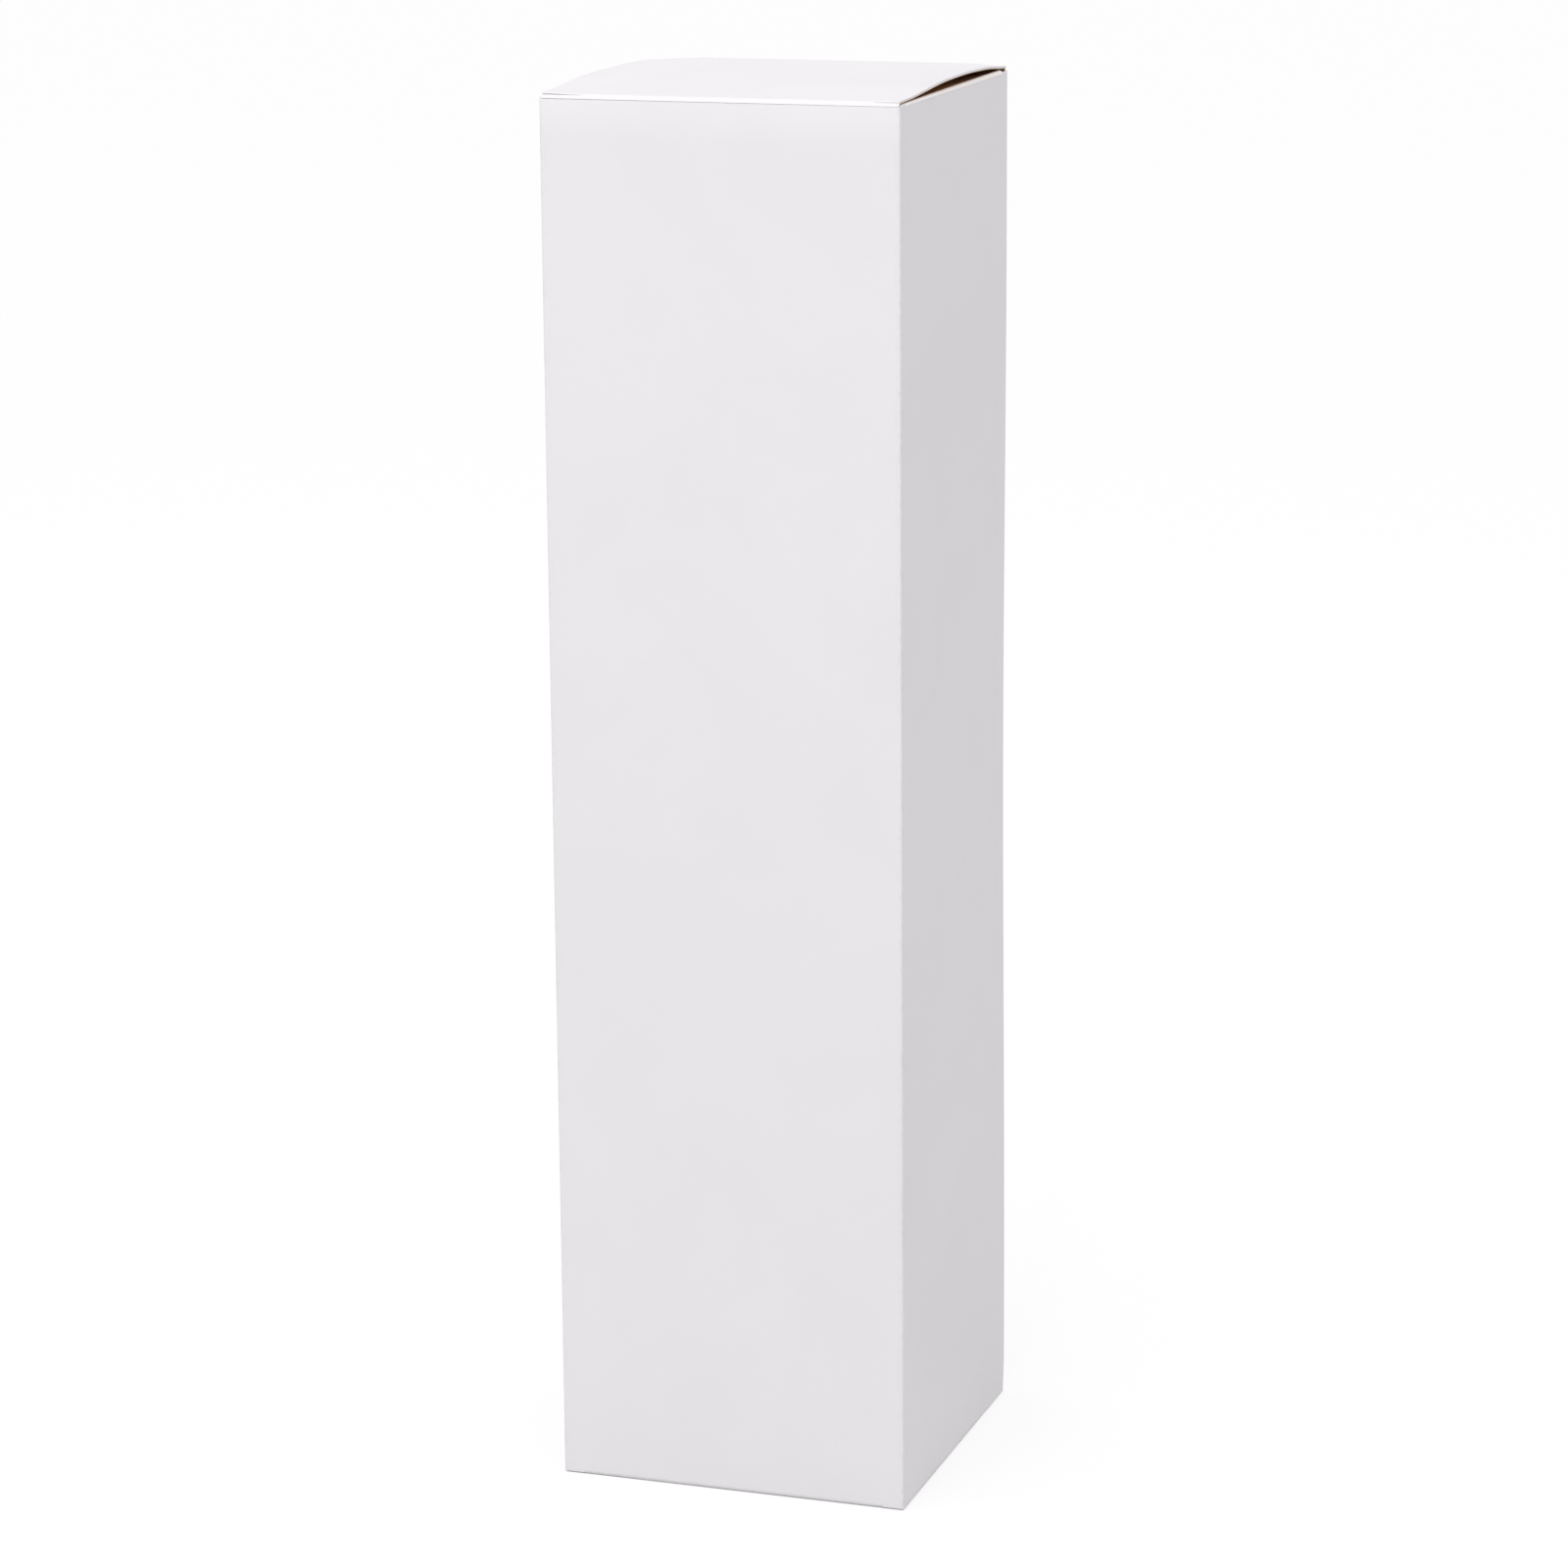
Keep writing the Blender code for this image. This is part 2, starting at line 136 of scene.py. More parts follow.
# Slit locks at the two ends of the front crease
SLIT_LENGTHS = (0.006, 0.010)  # right and left
SLIT_WIDTH = 0.00005
SLIT_PAST_BEND = 0.00035  # from where the lid begins to bend to the slit
EAR_LIFTS = (0.00012, 0.00028)  # of the lid's free corners, right and left
EAR_LIFT_LEAD = 0.002  # how far before the slit the lift begins
EAR_LIFT_START = 0.078  # from the back crease
LID_SIDE_LIFTS = (-0.0002, 0.0002)  # of its right and left edges, a little behind the front
LID_SIDE_LIFT_PLACE = 0.068  # from the back crease
LID_SIDE_LIFT_RUN = 0.014
TUCK_TOP_DROP = 0.0001  # of its edge inside the lid's bend, below the axis

# Tuck flap
TUCK_LENGTH = 0.0254
TUCK_LEAN = math.radians(10)
TUCK_TAPER = math.radians(3)
TUCK_CORNER_RADIUS = 0.008
TUCK_SIDE_CLEARANCE = 0.0009

# Dust flaps
DUST_LENGTH = 0.040
DUST_FRONT_CLEARANCE = 0.0035
DUST_BACK_CLEARANCE = 0.0046
DUST_SHOULDER = 0.010
DUST_SHOULDER_STEP = 0.003
DUST_FRONT_TAPER = math.radians(8)
DUST_BACK_TAPER = math.radians(20)
DUST_CORNER_RADIUS = 0.005
DUST_ROOT_RADIUS = 0.001
DUST_FOLD = math.radians(102)  # of its crease, a little more than square
DUST_DROOP = 0.0012  # how far it hangs below its crease
DUST_DROOP_RUN = 0.006
DUST_SHOULDER_DROOP_SHARE = 0.25  # of that, at the front shoulder, where the tuck flap swings by
DUST_SHOULDER_DROOP_END = 0.3  # where this begins to give way, in shoulder steps from the front
DUST_STEPS = 16
CREASE_FRONT_SHARE = 0.54  # height of the side crease where the lid presses on it, of a free one
CREASE_BACK_SHARE = 1.25  # and at the back, where it springs up

# Bottom flaps
BOTTOM_LEVEL = BOARD + HAIRLINE
BOTTOM_CORNER_RADIUS = 0.002
FRONT_FLAP_INSET = 0.0055
FRONT_FLAP_SHORT_OF_MIDDLE = 0.0085
TONGUE_WIDTH = 0.040
TONGUE_REACH = 0.015
TONGUE_TAPER = math.radians(8)
TONGUE_RAMP = 0.0068
TONGUE_RAMP_BEFORE_MIDDLE = 0.0002
SIDE_FLAP_RAMP = 0.0045
SIDE_FLAP_END_CLEARANCE = 0.002
SIDE_FLAP_SHORT_OF_MIDDLE = 0.002
SIDE_FLAP_HEEL_CLEARANCE = 0.003
SIDE_FLAP_BACK_REACH = 0.030
BACK_FLAP_INSET = 0.002
BACK_FLAP_RAMP = 0.008
NOTCH_CLEARANCE = 0.0015
LEG_REACH = 0.020
LEG_TAPER = math.radians(14)
RAMP_EASE = 0.0012  # length over which a ramp turns into the level
EASE_ROOM_SHARE = 0.98  # most of the room before a ramp that its easing takes up
EASE_STEPS = 4

# Glued seam at the back left corner
GLUE_FILM = 0.0001
SEAM_DEPTH = BOARD + GLUE_FILM
GLUE_FLAP_WIDTH = 0.019
GLUE_FLAP_SLOPE = math.radians(15)

# How the walls have settled
BACK_CORNER_DRAW = 0.0006  # how far the back right crease is drawn in at half height
DRAW_POWER = 4  # the higher, the less of it reaches the foot and the top
FACE_WAVES = 0.00008
FACE_WAVE_LENGTH = 0.055
WAVE_FADE = 4  # the higher, the nearer to the foot and the top the waves are full
FOOT_CRUSH = 0.0003  # of the back right corner's foot
FOOT_CRUSH_HEIGHT = 0.003
CRUSH_POWER = 40  # the higher, the closer it keeps to the corner

# Paper: a grain is the size of its tooth and of its clouds, fibres are a width, length and amount,
# wear is how far it reaches from a crease and the size of its breaks, and a tooth is its height
COARSE_TOOTH_SCALE = 0.23  # of the coarse half of the tooth, of the fine one's
TOOTH_RANGE = (0.2, 0.8)  # of the tooth, from the smoothest to the roughest
CLOUD_RANGE = (0.3, 0.7)
FIBRE_ANGLES = (0.0, 1.1, 2.2)
FIBRE_RANGE = (0.72, 0.8)
FIBRE_AMOUNT_REACH = 0.3  # how far the amount moves the start of that range
BREAK_RANGE = (0.45, 0.68)
BARE_SPECULAR = 0.2

# Coated outside
WHITE = (0.865, 0.848, 0.873, 1)
WHITE_DEEP = (0.851, 0.834, 0.859, 1)
FOLD_PAINTED_HIGHLIGHT = (0.905, 0.887, 0.91, 1)  # painted highlight: lighter white on the creases at the top, where they catch the light
WHITE_SCORED = (0.72, 0.70, 0.70, 1)
TOP_HIGHLIGHT_REACH = (0.0017, 0.0010)  # from the crease, where the painted highlight begins and is full
TOP_HIGHLIGHT_RISE = 0.00008  # over which it begins, above the front panel's top
SCORE_LINE = 0.0013  # of the faint pressed line, from the upright creases
SCORE_HALF_WIDTH = 0.0003
SCORE_TONE = 0.12
SCORE_DEPTH = 1.5  # of the tooth's height
SCORE_PATCH_SCALE = 90.0
SCORE_PATCH_RANGE = (0.42, 0.62)
COATED_GRAIN = (0.00035, 0.03)
COATED_TOOTH = 0.000008
COATED_ROUGHNESS = (0.38, 0.56)
COATED_SPECULAR = 0.5
COATED_WEAR = (0.0016, 0.0018)
COATED_WEAR_TONE = 0.35
COATED_WEAR_DULLING = 0.2

# Brown face
KRAFT_LIGHT = (0.52, 0.28, 0.135, 1)
KRAFT_DEEP = (0.43, 0.215, 0.10, 1)
KRAFT_PALE_FIBRE = (0.62, 0.44, 0.29, 1)
KRAFT_DARK_FIBRE = (0.20, 0.11, 0.06, 1)
KRAFT_GRAIN = (0.0004, 0.012)
KRAFT_TOOTH = 0.00003
KRAFT_ROUGHNESS = (0.78, 0.94)
PALE_FIBRES = (0.00012, 0.0022, 0.5)
PALE_FIBRE_TONE = 0.45
PALE_FIBRE_HEIGHT = 0.6  # of the tooth's
DARK_FIBRES = (0.0001, 0.0015, 0.2)
DARK_FIBRE_TONE = 0.6
DARK_FIBRE_SHIFT = (0.31, 0.17, 0.0)
# painted highlight: peach-white on the dust flaps' creases, for light bounced off the lid's brown
# underside
SIDE_FOLD_PAINTED_HIGHLIGHT = (0.995, 0.95, 0.92, 1)
WHITE_STRIP = 0.0008  # how far the white reaches from the crease on to the dust flaps' tops; beyond it their white face is painted brown, as painted shade in the gap under the lid
WHITE_STRIP_RAGGEDNESS = 0.0006
WHITE_STRIP_ROUGHNESS = 0.55

# Cut edges
CORE_WHITE = (0.95, 0.93, 0.94, 1)
CORE_DEEP = (0.92, 0.895, 0.90, 1)
CORE_FIBRE = (0.80, 0.75, 0.72, 1)
BROWN_PLY = (0.00053, 0.00059)  # depths between which the white core turns into the brown ply
PLY_RAGGEDNESS = 0.00008
EDGE_GRAIN = (0.00018, 0.004)
EDGE_TOOTH = 0.00003
EDGE_ROUGHNESS = (0.8, 0.96)
EDGE_FIBRES = (0.0004, 0.00005, 0.8)
EDGE_FIBRE_TONE = 0.3
EDGE_WEAR = (0.004, 0.0012)
EDGE_SOIL_TONE = 0.4

# Camera, light and floor
CAMERA_ANGLES = (18.620, 13.328, -0.460)  # azimuth, elevation and roll in degrees
CAMERA_DISTANCE = 1.2323
CAMERA_AIM = (-0.00002, -0.00165)  # right and up of the carton's middle
CAMERA_LENS = 114.14
CAMERA_SENSOR = 36
CAMERA_CLIP = (0.01, 50)
BACKDROP = (1.0, 0.992, 1.0, 1)
ROOM_LIGHT = 0.887
OVERHEAD_POWER = 1.84
OVERHEAD_SIZE = 0.9
OVERHEAD_PLACE = (-0.1, -0.35, 1.5)
FRONT_POWER = 3.45
FRONT_SIZE = 0.8
FRONT_PLACE = (-0.1, -1.2, 0.5)
FLOOR_HALF_SIZE = 20
FLOOR_WHITE = (0.5, 0.5, 0.5, 1)
FLOOR_SEEN = (0.3, 0.3, 0.3, 1)
FLOOR_ROUGHNESS = 0.9
FLOOR_GLOW = 0.728
CONTACT_SHADE = 0.0008  # how far under the carton's foot the floor has gone dark

FRONT, RIGHT, BACK, LEFT = range(4)
QUARTER = math.pi / 2
COATED, KRAFT, CUT_EDGE = range(3)
TINY = 1e-6
NODE_STEP = Vector((180, -60))  # between nodes in the shader editor
# Across the board is up, along it is to the left as seen from outside, and its face looks out
UPRIGHT = Matrix(((0, -1, 0, 0), (0, 0, -1, 0), (1, 0, 0, 0), (0, 0, 0, 1)))


def arc(centre, radius, start, end, steps):
    """Points from one angle to another, both included."""
    points = []
    for step in range(steps + 1):
        angle = start + (end - start) * step / steps
        points.append(centre + radius * Vector((math.cos(angle), math.sin(angle))))
    return points


def rounded(corners):
    """Outline through corners given as (x, y, radius), with each corner made an arc."""
    points = []
    for index, (x, y, radius) in enumerate(corners):
        here = Vector((x, y))
        if not radius:
            points.append(here)
            continue
        come = (here - Vector(corners[index - 1][:2])).normalized()
        leave = (Vector(corners[(index + 1) % len(corners)][:2]) - here).normalized()
        turn = math.atan2(come.cross(leave), come.dot(leave))
        inwards = math.copysign(1, turn) * Vector((-come.y, come.x))
        start = here - come * radius * abs(math.tan(turn / 2))
        first = math.atan2(-inwards.y, -inwards.x)
        points += arc(start + inwards * radius, radius, first, first + turn, OUTLINE_STEPS)
    return points


def mirrored(outline):
    return [(-x, y, radius) for x, y, radius in reversed(outline)]


def both_halves(half_outline):
    return half_outline + mirrored(half_outline)


def stations(low, high):
    """Even places strictly between two ends, at most a cell apart."""
    count = max(1, math.ceil((high - low) / CELL))
    return [low + (high - low) * step / count for step in range(1, count)]


def smooth_step(share):
    share = min(1, max(0, share))
    return share * share * (3 - 2 * share)


def outer_line(middle, places, outside=1):
    """Side view of a board's outer face, as (place on the blank, point, mitred normal)."""
    directions = [(b - a).normalized() for a, b in zip(middle, middle[1:])]
    before = [directions[0]] + directions
    after = directions + [directions[-1]]
    line = []
    for place, point, come, leave in zip(places, middle, before, after):
        along = (come + leave).normalized()
        normal = Vector((-along.y, along.x)) * (outside / along.dot(come))
        line.append((place, point + normal * HALF_BOARD, normal))
    return line


def on_line(line, place, depth):
    """Where a point of the board is, at this place along the line and this depth under its face."""
    index = 1
    while index < len(line) - 1 and line[index][0] < place - TINY:
        index += 1
    (low, start, start_normal), (high, end, end_normal) = line[index - 1], line[index]
    share = (place - low) / (high - low)
    normal = start_normal.lerp(end_normal, min(1, max(0, share)))
    return start + (end - start) * share - normal * depth


def round_off(bm, rims, radius, steps):
    shape = {"affect": "EDGES", "profile": 0.5, "material": -1}
    bmesh.ops.bevel(bm, geom=rims, offset=radius, segments=steps, **shape)


def roll_die_cut(bm, lines):
    """Rounds the knife side of the cut edges that lie on these lines, given as (axis, place)."""

    def lies_on(edge, axis, place):
        return all(abs(vert.co[axis] - place) < TINY for vert in edge.verts)

    rims = []
    for edge in bm.edges:
        if lies_on(edge, 2, 0) and any(lies_on(edge, axis, place) for axis, place in lines):
            rims.append(edge)
    if rims:
        round_off(bm, rims, DIE_ROLL, DIE_ROLL_STEPS)


def flat_board(outline, cuts_across, cuts_along, round_start, rolled):
    """The board while it is flat: its face at Z 0, its outline in X and Y, its thickness below."""
    bm = bmesh.new()
    base = bm.faces.new([bm.verts.new((point.x, point.y, 0)) for point in outline])
    raised = bmesh.ops.extrude_face_region(bm, geom=[base])["geom"]
    lowered = [item for item in raised if isinstance(item, bmesh.types.BMVert)]
    bmesh.ops.translate(bm, vec=(0, 0, -BOARD), verts=lowered)
    bmesh.ops.recalc_face_normals(bm, faces=bm.faces)
    if round_start:
        start = min(point.y for point in outline)
        rims = [edge for edge in bm.edges if all(vert.co.y < start + TINY for vert in edge.verts)]
        rims = [edge for edge in rims if abs(edge.verts[0].co.x - edge.verts[1].co.x) > BOARD]
        round_off(bm, rims, ROUND_EDGE_RADIUS, ROUND_EDGE_STEPS)
    roll_die_cut(bm, rolled)
    for axis, cuts in ((Vector((1, 0, 0)), cuts_across), (Vector((0, 1, 0)), cuts_along)):
        for place in cuts:
            geom = bm.verts[:] + bm.edges[:] + bm.faces[:]
            bmesh.ops.bisect_plane(bm, geom=geom, plane_co=axis * place, plane_no=axis, dist=TINY)
    bm.normal_update()
    for face in bm.faces:
        middle = face.calc_center_median()
        tilt = face.normal.z
        if tilt > COATED_TILT or tilt < KRAFT_TILT:
            face.material_index = COATED if tilt > 0 else KRAFT
        elif round_start and abs(face.normal.x) < SIDEWAYS_TILT and middle.y < HALF_BOARD:
            face.material_index = COATED if middle.z > -ROUND_EDGE_KRAFT else KRAFT
        else:
            face.material_index = CUT_EDGE
    return bm


def keep_places(bm):
    """Writes each point's place on the flat blank into a UV map, and on a cut edge its depth."""
    layer = bm.loops.layers.uv.new("blank")
    for face in bm.faces:
        rim = face.material_index == CUT_EDGE
        for loop in face.loops:
            x, y, z = loop.vert.co
            loop[layer].uv = (x + y, z) if rim else (x, y)


def new_object(name, data):
    thing = bpy.data.objects.new(name, data)
    bpy.context.scene.collection.objects.link(thing)
    return thing


def board_piece(
    name, outline, line, matrix, materials,
    round_start=False, outside=1, give=None, bent=None, rolled=(),
):
    """Cuts a piece of board to its outline, bends it along its line and puts it in place."""
    xs = [point.x for point in outline]
    ys = [point.y for point in outline]
    cuts = [place for place, _, _ in line if min(ys) + TINY < place < max(ys) - TINY]
    for low, high in zip([min(ys)] + cuts, cuts + [max(ys)]):
        cuts = cuts + stations(low, high)
    bm = flat_board(outline, stations(min(xs), max(xs)), cuts, round_start, rolled)
    keep_places(bm)
    for vert in bm.verts:
        across, along, low = vert.co
        point = bent(across, along, -low) if bent else on_line(line, along, -low)
        vert.co = matrix @ Vector((across, point.x, point.y))
        if give:
            vert.co = give(vert.co)
    if outside < 0:
        bmesh.ops.reverse_faces(bm, faces=bm.faces)
    mesh = bpy.data.meshes.new(name)
    bm.to_mesh(mesh)
    bm.free()
    for material in materials:
        mesh.materials.append(material)
    mesh.shade_smooth()
    mesh.set_sharp_from_angle(angle=SHARP_ANGLE)
    return new_object(name, mesh)


def make_panel(node, *board, **shaping):
    """A piece of board that rides with its node's body and is shown in its place."""
    piece = board_piece(node + "_board", *board, **shaping)
    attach(piece, frame["nodes"][node]["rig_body"])
    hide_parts(node)


def to_side(side, point=(0, 0, 0), pitch=0.0):
    """Turns a panel drawn for the front to its own side, with its crease at this point."""
    turn = Matrix.Rotation(side * QUARTER, 4, "Z") @ Matrix.Rotation(pitch, 4, "X")
    return Matrix.Translation(point) @ turn


def settled(point):
    """The walls' slight give: the back right crease is drawn in, and the faces wave."""
    x, y, z = point
    share = min(1, max(0, z / HEIGHT))
    belly = 4 * share * (1 - share)
    corner = (0.5 + x / WIDTH) * (0.5 + y / DEPTH)
    drawn = BACK_CORNER_DRAW * belly**DRAW_POWER * corner
    crush = FOOT_CRUSH * corner**CRUSH_POWER * smooth_step(1 - z / FOOT_CRUSH_HEIGHT)
    wave = (1 + noise.noise(Vector(point) / FACE_WAVE_LENGTH)) * FACE_WAVES
    wave *= min(1, belly * WAVE_FADE)
    on_side = smooth_step((HALF_DEPTH - abs(y)) / CELL)
    on_front = smooth_step((HALF_WIDTH - abs(x)) / CELL)
    x -= drawn + crush + math.copysign(wave * on_side * (1 - on_front), x)
    y -= crush + math.copysign(wave * on_front * (1 - on_side), y)
    return Vector((x, y, z))


def lid_corner_droop(across):
    """How much lower than its middle the lid's back crease lies here."""
    free = HALF_WIDTH - LID_SIDE_INSET - LID_DROOP_RUN
    return LID_CORNER_DROOP * smooth_step((abs(across) - free) / LID_DROOP_RUN)


def hugging_the_lid(point):
    """As the walls, with the back panel's top edge reaching up to the lid's round edge."""
    x, y, z = point
    hinge = HINGES["lid_hinge"]
    if z > hinge.z - BOARD - TINY:
        lip = BACK_LIP if y > hinge.y + TINY else BACK_INNER_LIP
        z += lip - lid_corner_droop(x)
    return settled(Vector((x, y, z)))


def wall_line(length, offset, start_is_cut=False, end_inset=0.0):
    """Plan of a wall's outer face, seen from outside from its right end to its left."""
    bend = QUARTER / 2
    radius = UPRIGHT_RADIUS - HALF_BOARD
    reach = UPRIGHT_RADIUS * bend
    level = offset - UPRIGHT_RADIUS
    first = UPRIGHT_RADIUS - length / 2
    last = length / 2 - UPRIGHT_RADIUS - end_inset
    middle = []
    places = []
    if start_is_cut:
        middle.append(Vector((-length / 2, offset - HALF_BOARD)))
        places.append(-length / 2)
    else:
        middle += arc(Vector((first, level)), radius, QUARTER + bend, QUARTER, CORNER_STEPS)
        places += [first - reach * (1 - step / CORNER_STEPS) for step in range(CORNER_STEPS + 1)]
    middle += arc(Vector((last, level)), radius, QUARTER, QUARTER - bend, CORNER_STEPS)
    places += [last + reach * step / CORNER_STEPS for step in range(CORNER_STEPS + 1)]
    return outer_line(middle, places)


def make_wall(node, side, line, foot, top, materials, give=settled, rolled=()):
    """A wall with half of each upright crease; foot and top are (place, height), right to left."""
    start, end = line[0][0], line[-1][0]
    foot = [(start, foot[0][1])] + foot + [(end, foot[-1][1])]
    top = [(start, top[0][1])] + top + [(end, top[-1][1])]
    points = [Vector((height, place)) for place, height in foot]
    points += [Vector((height, place)) for place, height in reversed(top)]
    before = points[-1:] + points[:-1]
    outline = [point for point, last in zip(points, before) if (point - last).length > TINY]
    matrix = to_side(side) @ UPRIGHT
    make_panel(node, outline, line, matrix, materials, give=give, rolled=rolled)


def make_walls(materials):
    fold = CORNER_RADIUS
    crease_top = HEIGHT - CORNER_RADIUS
    front_free = HEIGHT + FRONT_FREE_TOP
    back_free = HEIGHT + BACK_FREE_TOP
    dust_front = HALF_DEPTH - DUST_FRONT_CLEARANCE
    dust_back = HALF_DEPTH - DUST_BACK_CLEARANCE
    side_front = HALF_DEPTH - SIDE_FLAP_END_CLEARANCE
    front_end = HALF_WIDTH - FRONT_FLAP_INSET
    back_end = HALF_WIDTH - BACK_FLAP_INSET
    lid_end = HALF_WIDTH - LID_SIDE_INSET
    lid_top = HINGES["lid_hinge"].z - BOARD

    def creased(start, end, crease, free):
        """A wall's edge: creased on to a flap between two places, and cut free beyond them."""
        return [(start, free), (start, crease), (end, crease), (end, free)]

    front_foot = creased(-front_end, front_end, fold, FREE_FOOT)
    back_foot = creased(-back_end, back_end, fold, FREE_FOOT)
    back_top = creased(-lid_end, lid_end, lid_top, back_free)
    side_foot = creased(-SIDE_FLAP_BACK_REACH, side_front, fold, FREE_FOOT)
    side_top = [
        (-dust_back, back_free),
        (-dust_back, crease_top),
        (dust_front, crease_top),
        (dust_front, front_free),
        (HALF_DEPTH - FREE_TOP_RUN, front_free),
        (HALF_DEPTH - CORNER_RADIUS, FRONT_TOP),
    ]

    def seen_from_other_side(edge):
        return [(-place, height) for place, height in reversed(edge)]

    front_line = wall_line(WIDTH, HALF_DEPTH)
    side_line = wall_line(DEPTH, HALF_WIDTH)
    back_line = wall_line(WIDTH, HALF_DEPTH, start_is_cut=True)
    left_line = wall_line(DEPTH, HALF_WIDTH, end_inset=SEAM_DEPTH)
    front_top = [(0, FRONT_TOP)]
    knife_cut = [(0, FRONT_TOP)]
    left_foot = seen_from_other_side(side_foot)
    left_top = seen_from_other_side(side_top)
    make_wall("front_panel", FRONT, front_line, front_foot, front_top, materials, rolled=knife_cut)
    make_wall("right_panel", RIGHT, side_line, side_foot, side_top, materials)
    make_wall("back_panel", BACK, back_line, back_foot, back_top, materials, hugging_the_lid)
    make_wall("left_panel", LEFT, left_line, left_foot, left_top, materials)


def make_glue_flap(materials):
    bend = QUARTER / 2
    centre = Vector((UPRIGHT_RADIUS, -UPRIGHT_RADIUS))
    radius = UPRIGHT_RADIUS - HALF_BOARD
    middle = arc(centre, radius, QUARTER + bend, QUARTER, CORNER_STEPS)
    middle.append(Vector((GLUE_FLAP_WIDTH, -HALF_BOARD)))
    reach = UPRIGHT_RADIUS * bend
    shares = [step / CORNER_STEPS for step in range(CORNER_STEPS + 1)]
    places = [UPRIGHT_RADIUS - reach * (1 - share) for share in shares] + [GLUE_FLAP_WIDTH]
    low = CORNER_RADIUS
    high = HEIGHT - CORNER_RADIUS
    slope = GLUE_FLAP_WIDTH * math.tan(GLUE_FLAP_SLOPE)
    outline = [
        Vector((low, places[0])),
        Vector((high, places[0])),
        Vector((high, UPRIGHT_RADIUS)),
        Vector((high - slope, GLUE_FLAP_WIDTH)),
        Vector((low + slope, GLUE_FLAP_WIDTH)),
        Vector((low, UPRIGHT_RADIUS)),
    ]
    turn = Matrix(((0, 1, 0, 0), (0, 0, 1, 0), (1, 0, 0, 0), (0, 0, 0, 1)))
    matrix = Matrix.Translation((-HALF_WIDTH, HALF_DEPTH - SEAM_DEPTH, 0)) @ turn
    make_panel("glue_flap", outline, outer_line(middle, places), matrix, materials, give=settled)


def through_knots(knots, place):
    """Height at a place on a smooth curve through knots given as (place, height)."""
    index = 1
    while index < len(knots) - 1 and knots[index][0] < place:
        index += 1

    def slope(number):
        before, after = knots[max(0, number - 1)], knots[min(len(knots) - 1, number + 1)]
        return (after[1] - before[1]) / (after[0] - before[0])

    (start, low), (end, high) = knots[index - 1], knots[index]
    run = end - start
    share = (place - start) / run
    turned = smooth_step(share)
    leaving = share * (1 - share) ** 2 * run * slope(index - 1)
    arriving = share**2 * (1 - share) * run * slope(index)
    return low + (high - low) * turned + leaving - arriving


def lid_line():
    """Side view of the lid: over in a bow, then slanting down over the front panel's edge."""
    hinge = HINGES["lid_hinge"]
    before, after = LID_BEND_RADII
    slant_cos, slant_sin = math.cos(LID_BEND_SLANT), math.sin(LID_BEND_SLANT)
    end_cos, end_sin = math.cos(LID_BEND_END), math.sin(LID_BEND_END)
    end_height = FRONT_TOP + LID_BEND_GAP - hinge.z
    start_slope = math.atan((LID_HEIGHTS[-1][1] - LID_FRONT_HEIGHT) / LID_FRONT_RUN)
    fall = before * (math.cos(start_slope) - slant_cos)
    fall += after * (slant_cos - end_cos) - HALF_BOARD * end_cos
    slant = (LID_FRONT_HEIGHT - end_height - fall) / slant_sin
    reach = before * (slant_sin - math.sin(start_slope)) + slant * slant_cos
    reach += after * (end_sin - slant_sin) + HALF_BOARD * end_sin
    length = hinge.y + LID_FRONT - reach
    knots = LID_HEIGHTS + ((length, LID_FRONT_HEIGHT),)
    places = [length * step / BOW_STEPS for step in range(BOW_STEPS + 1)]
    middle = [Vector((place, through_knots(knots, place))) for place in places]

    def turn_down(radius, first, last):
        centre = middle[-1] - radius * Vector((math.sin(first), math.cos(first)))
        for step in range(1, LID_BEND_STEPS + 1):
            slope = first + (last - first) * step / LID_BEND_STEPS
            middle.append(centre + radius * Vector((math.sin(slope), math.cos(slope))))
            places.append(places[-1] + radius * (last - first) / LID_BEND_STEPS)

    turn_down(before, start_slope, LID_BEND_SLANT)
    middle.append(middle[-1] + slant * Vector((slant_cos, -slant_sin)))
    places.append(places[-1] + slant)
    turn_down(after, LID_BEND_SLANT, LID_BEND_END)
    return outer_line(middle, places), length, end_height


def make_lid(materials):
    line, bow_end, end_height = lid_line()
    half = HALF_WIDTH - LID_SIDE_INSET
    ear_end = bow_end + SLIT_PAST_BEND

    def half_outline(slit):
        return [
            (half, -ROUND_EDGE_RADIUS, 0),
            (half, ear_end, LID_CORNER_RADIUS),
            (half - slit, ear_end, 0),
            (half - slit, ear_end + SLIT_WIDTH, 0),
            (half, ear_end + SLIT_WIDTH, 0),
            (half, line[-1][0], 0),
        ]

    # Drawn from the back, where the carton's left side is on the right
    right_slit, left_slit = SLIT_LENGTHS
    right_lift, left_lift = EAR_LIFTS
    right_side, left_side = LID_SIDE_LIFTS
    outline = rounded(half_outline(left_slit) + mirrored(half_outline(right_slit)))

    def bent(across, along, depth):
        """As the line, with the front corners lifted, the back ones low and the sides curled."""
        slit, lift = (left_slit, left_lift) if across > 0 else (right_slit, right_lift)
        point = on_line(line, along, depth)
        if along < ear_end + TINY:
            share = (abs(across) - half + slit + EAR_LIFT_LEAD) / (slit + EAR_LIFT_LEAD)
            near = max(0, along - EAR_LIFT_START) / (bow_end - EAR_LIFT_START)
            point.y += lift * smooth_step(share) * smooth_step(near)
            point.y -= lid_corner_droop(across) * smooth_step(1 - along / LID_DROOP_LENGTH)
        near_place = math.exp(-(((along - LID_SIDE_LIFT_PLACE) / LID_SIDE_LIFT_RUN) ** 2))
        point.y += (left_side if across > 0 else right_side) * near_place * (across / half) ** 2
        point.y = max(point.y, end_height)
        return point

    shaping = {"round_start": True, "bent": bent, "rolled": [(0, half), (0, -half)]}
    make_panel("lid_panel", outline, line, to_side(BACK, HINGES["lid_hinge"]), materials, **shaping)


def flat_line(start, end):
    return outer_line([Vector((start, 0)), Vector((end, 0))], [start, end])


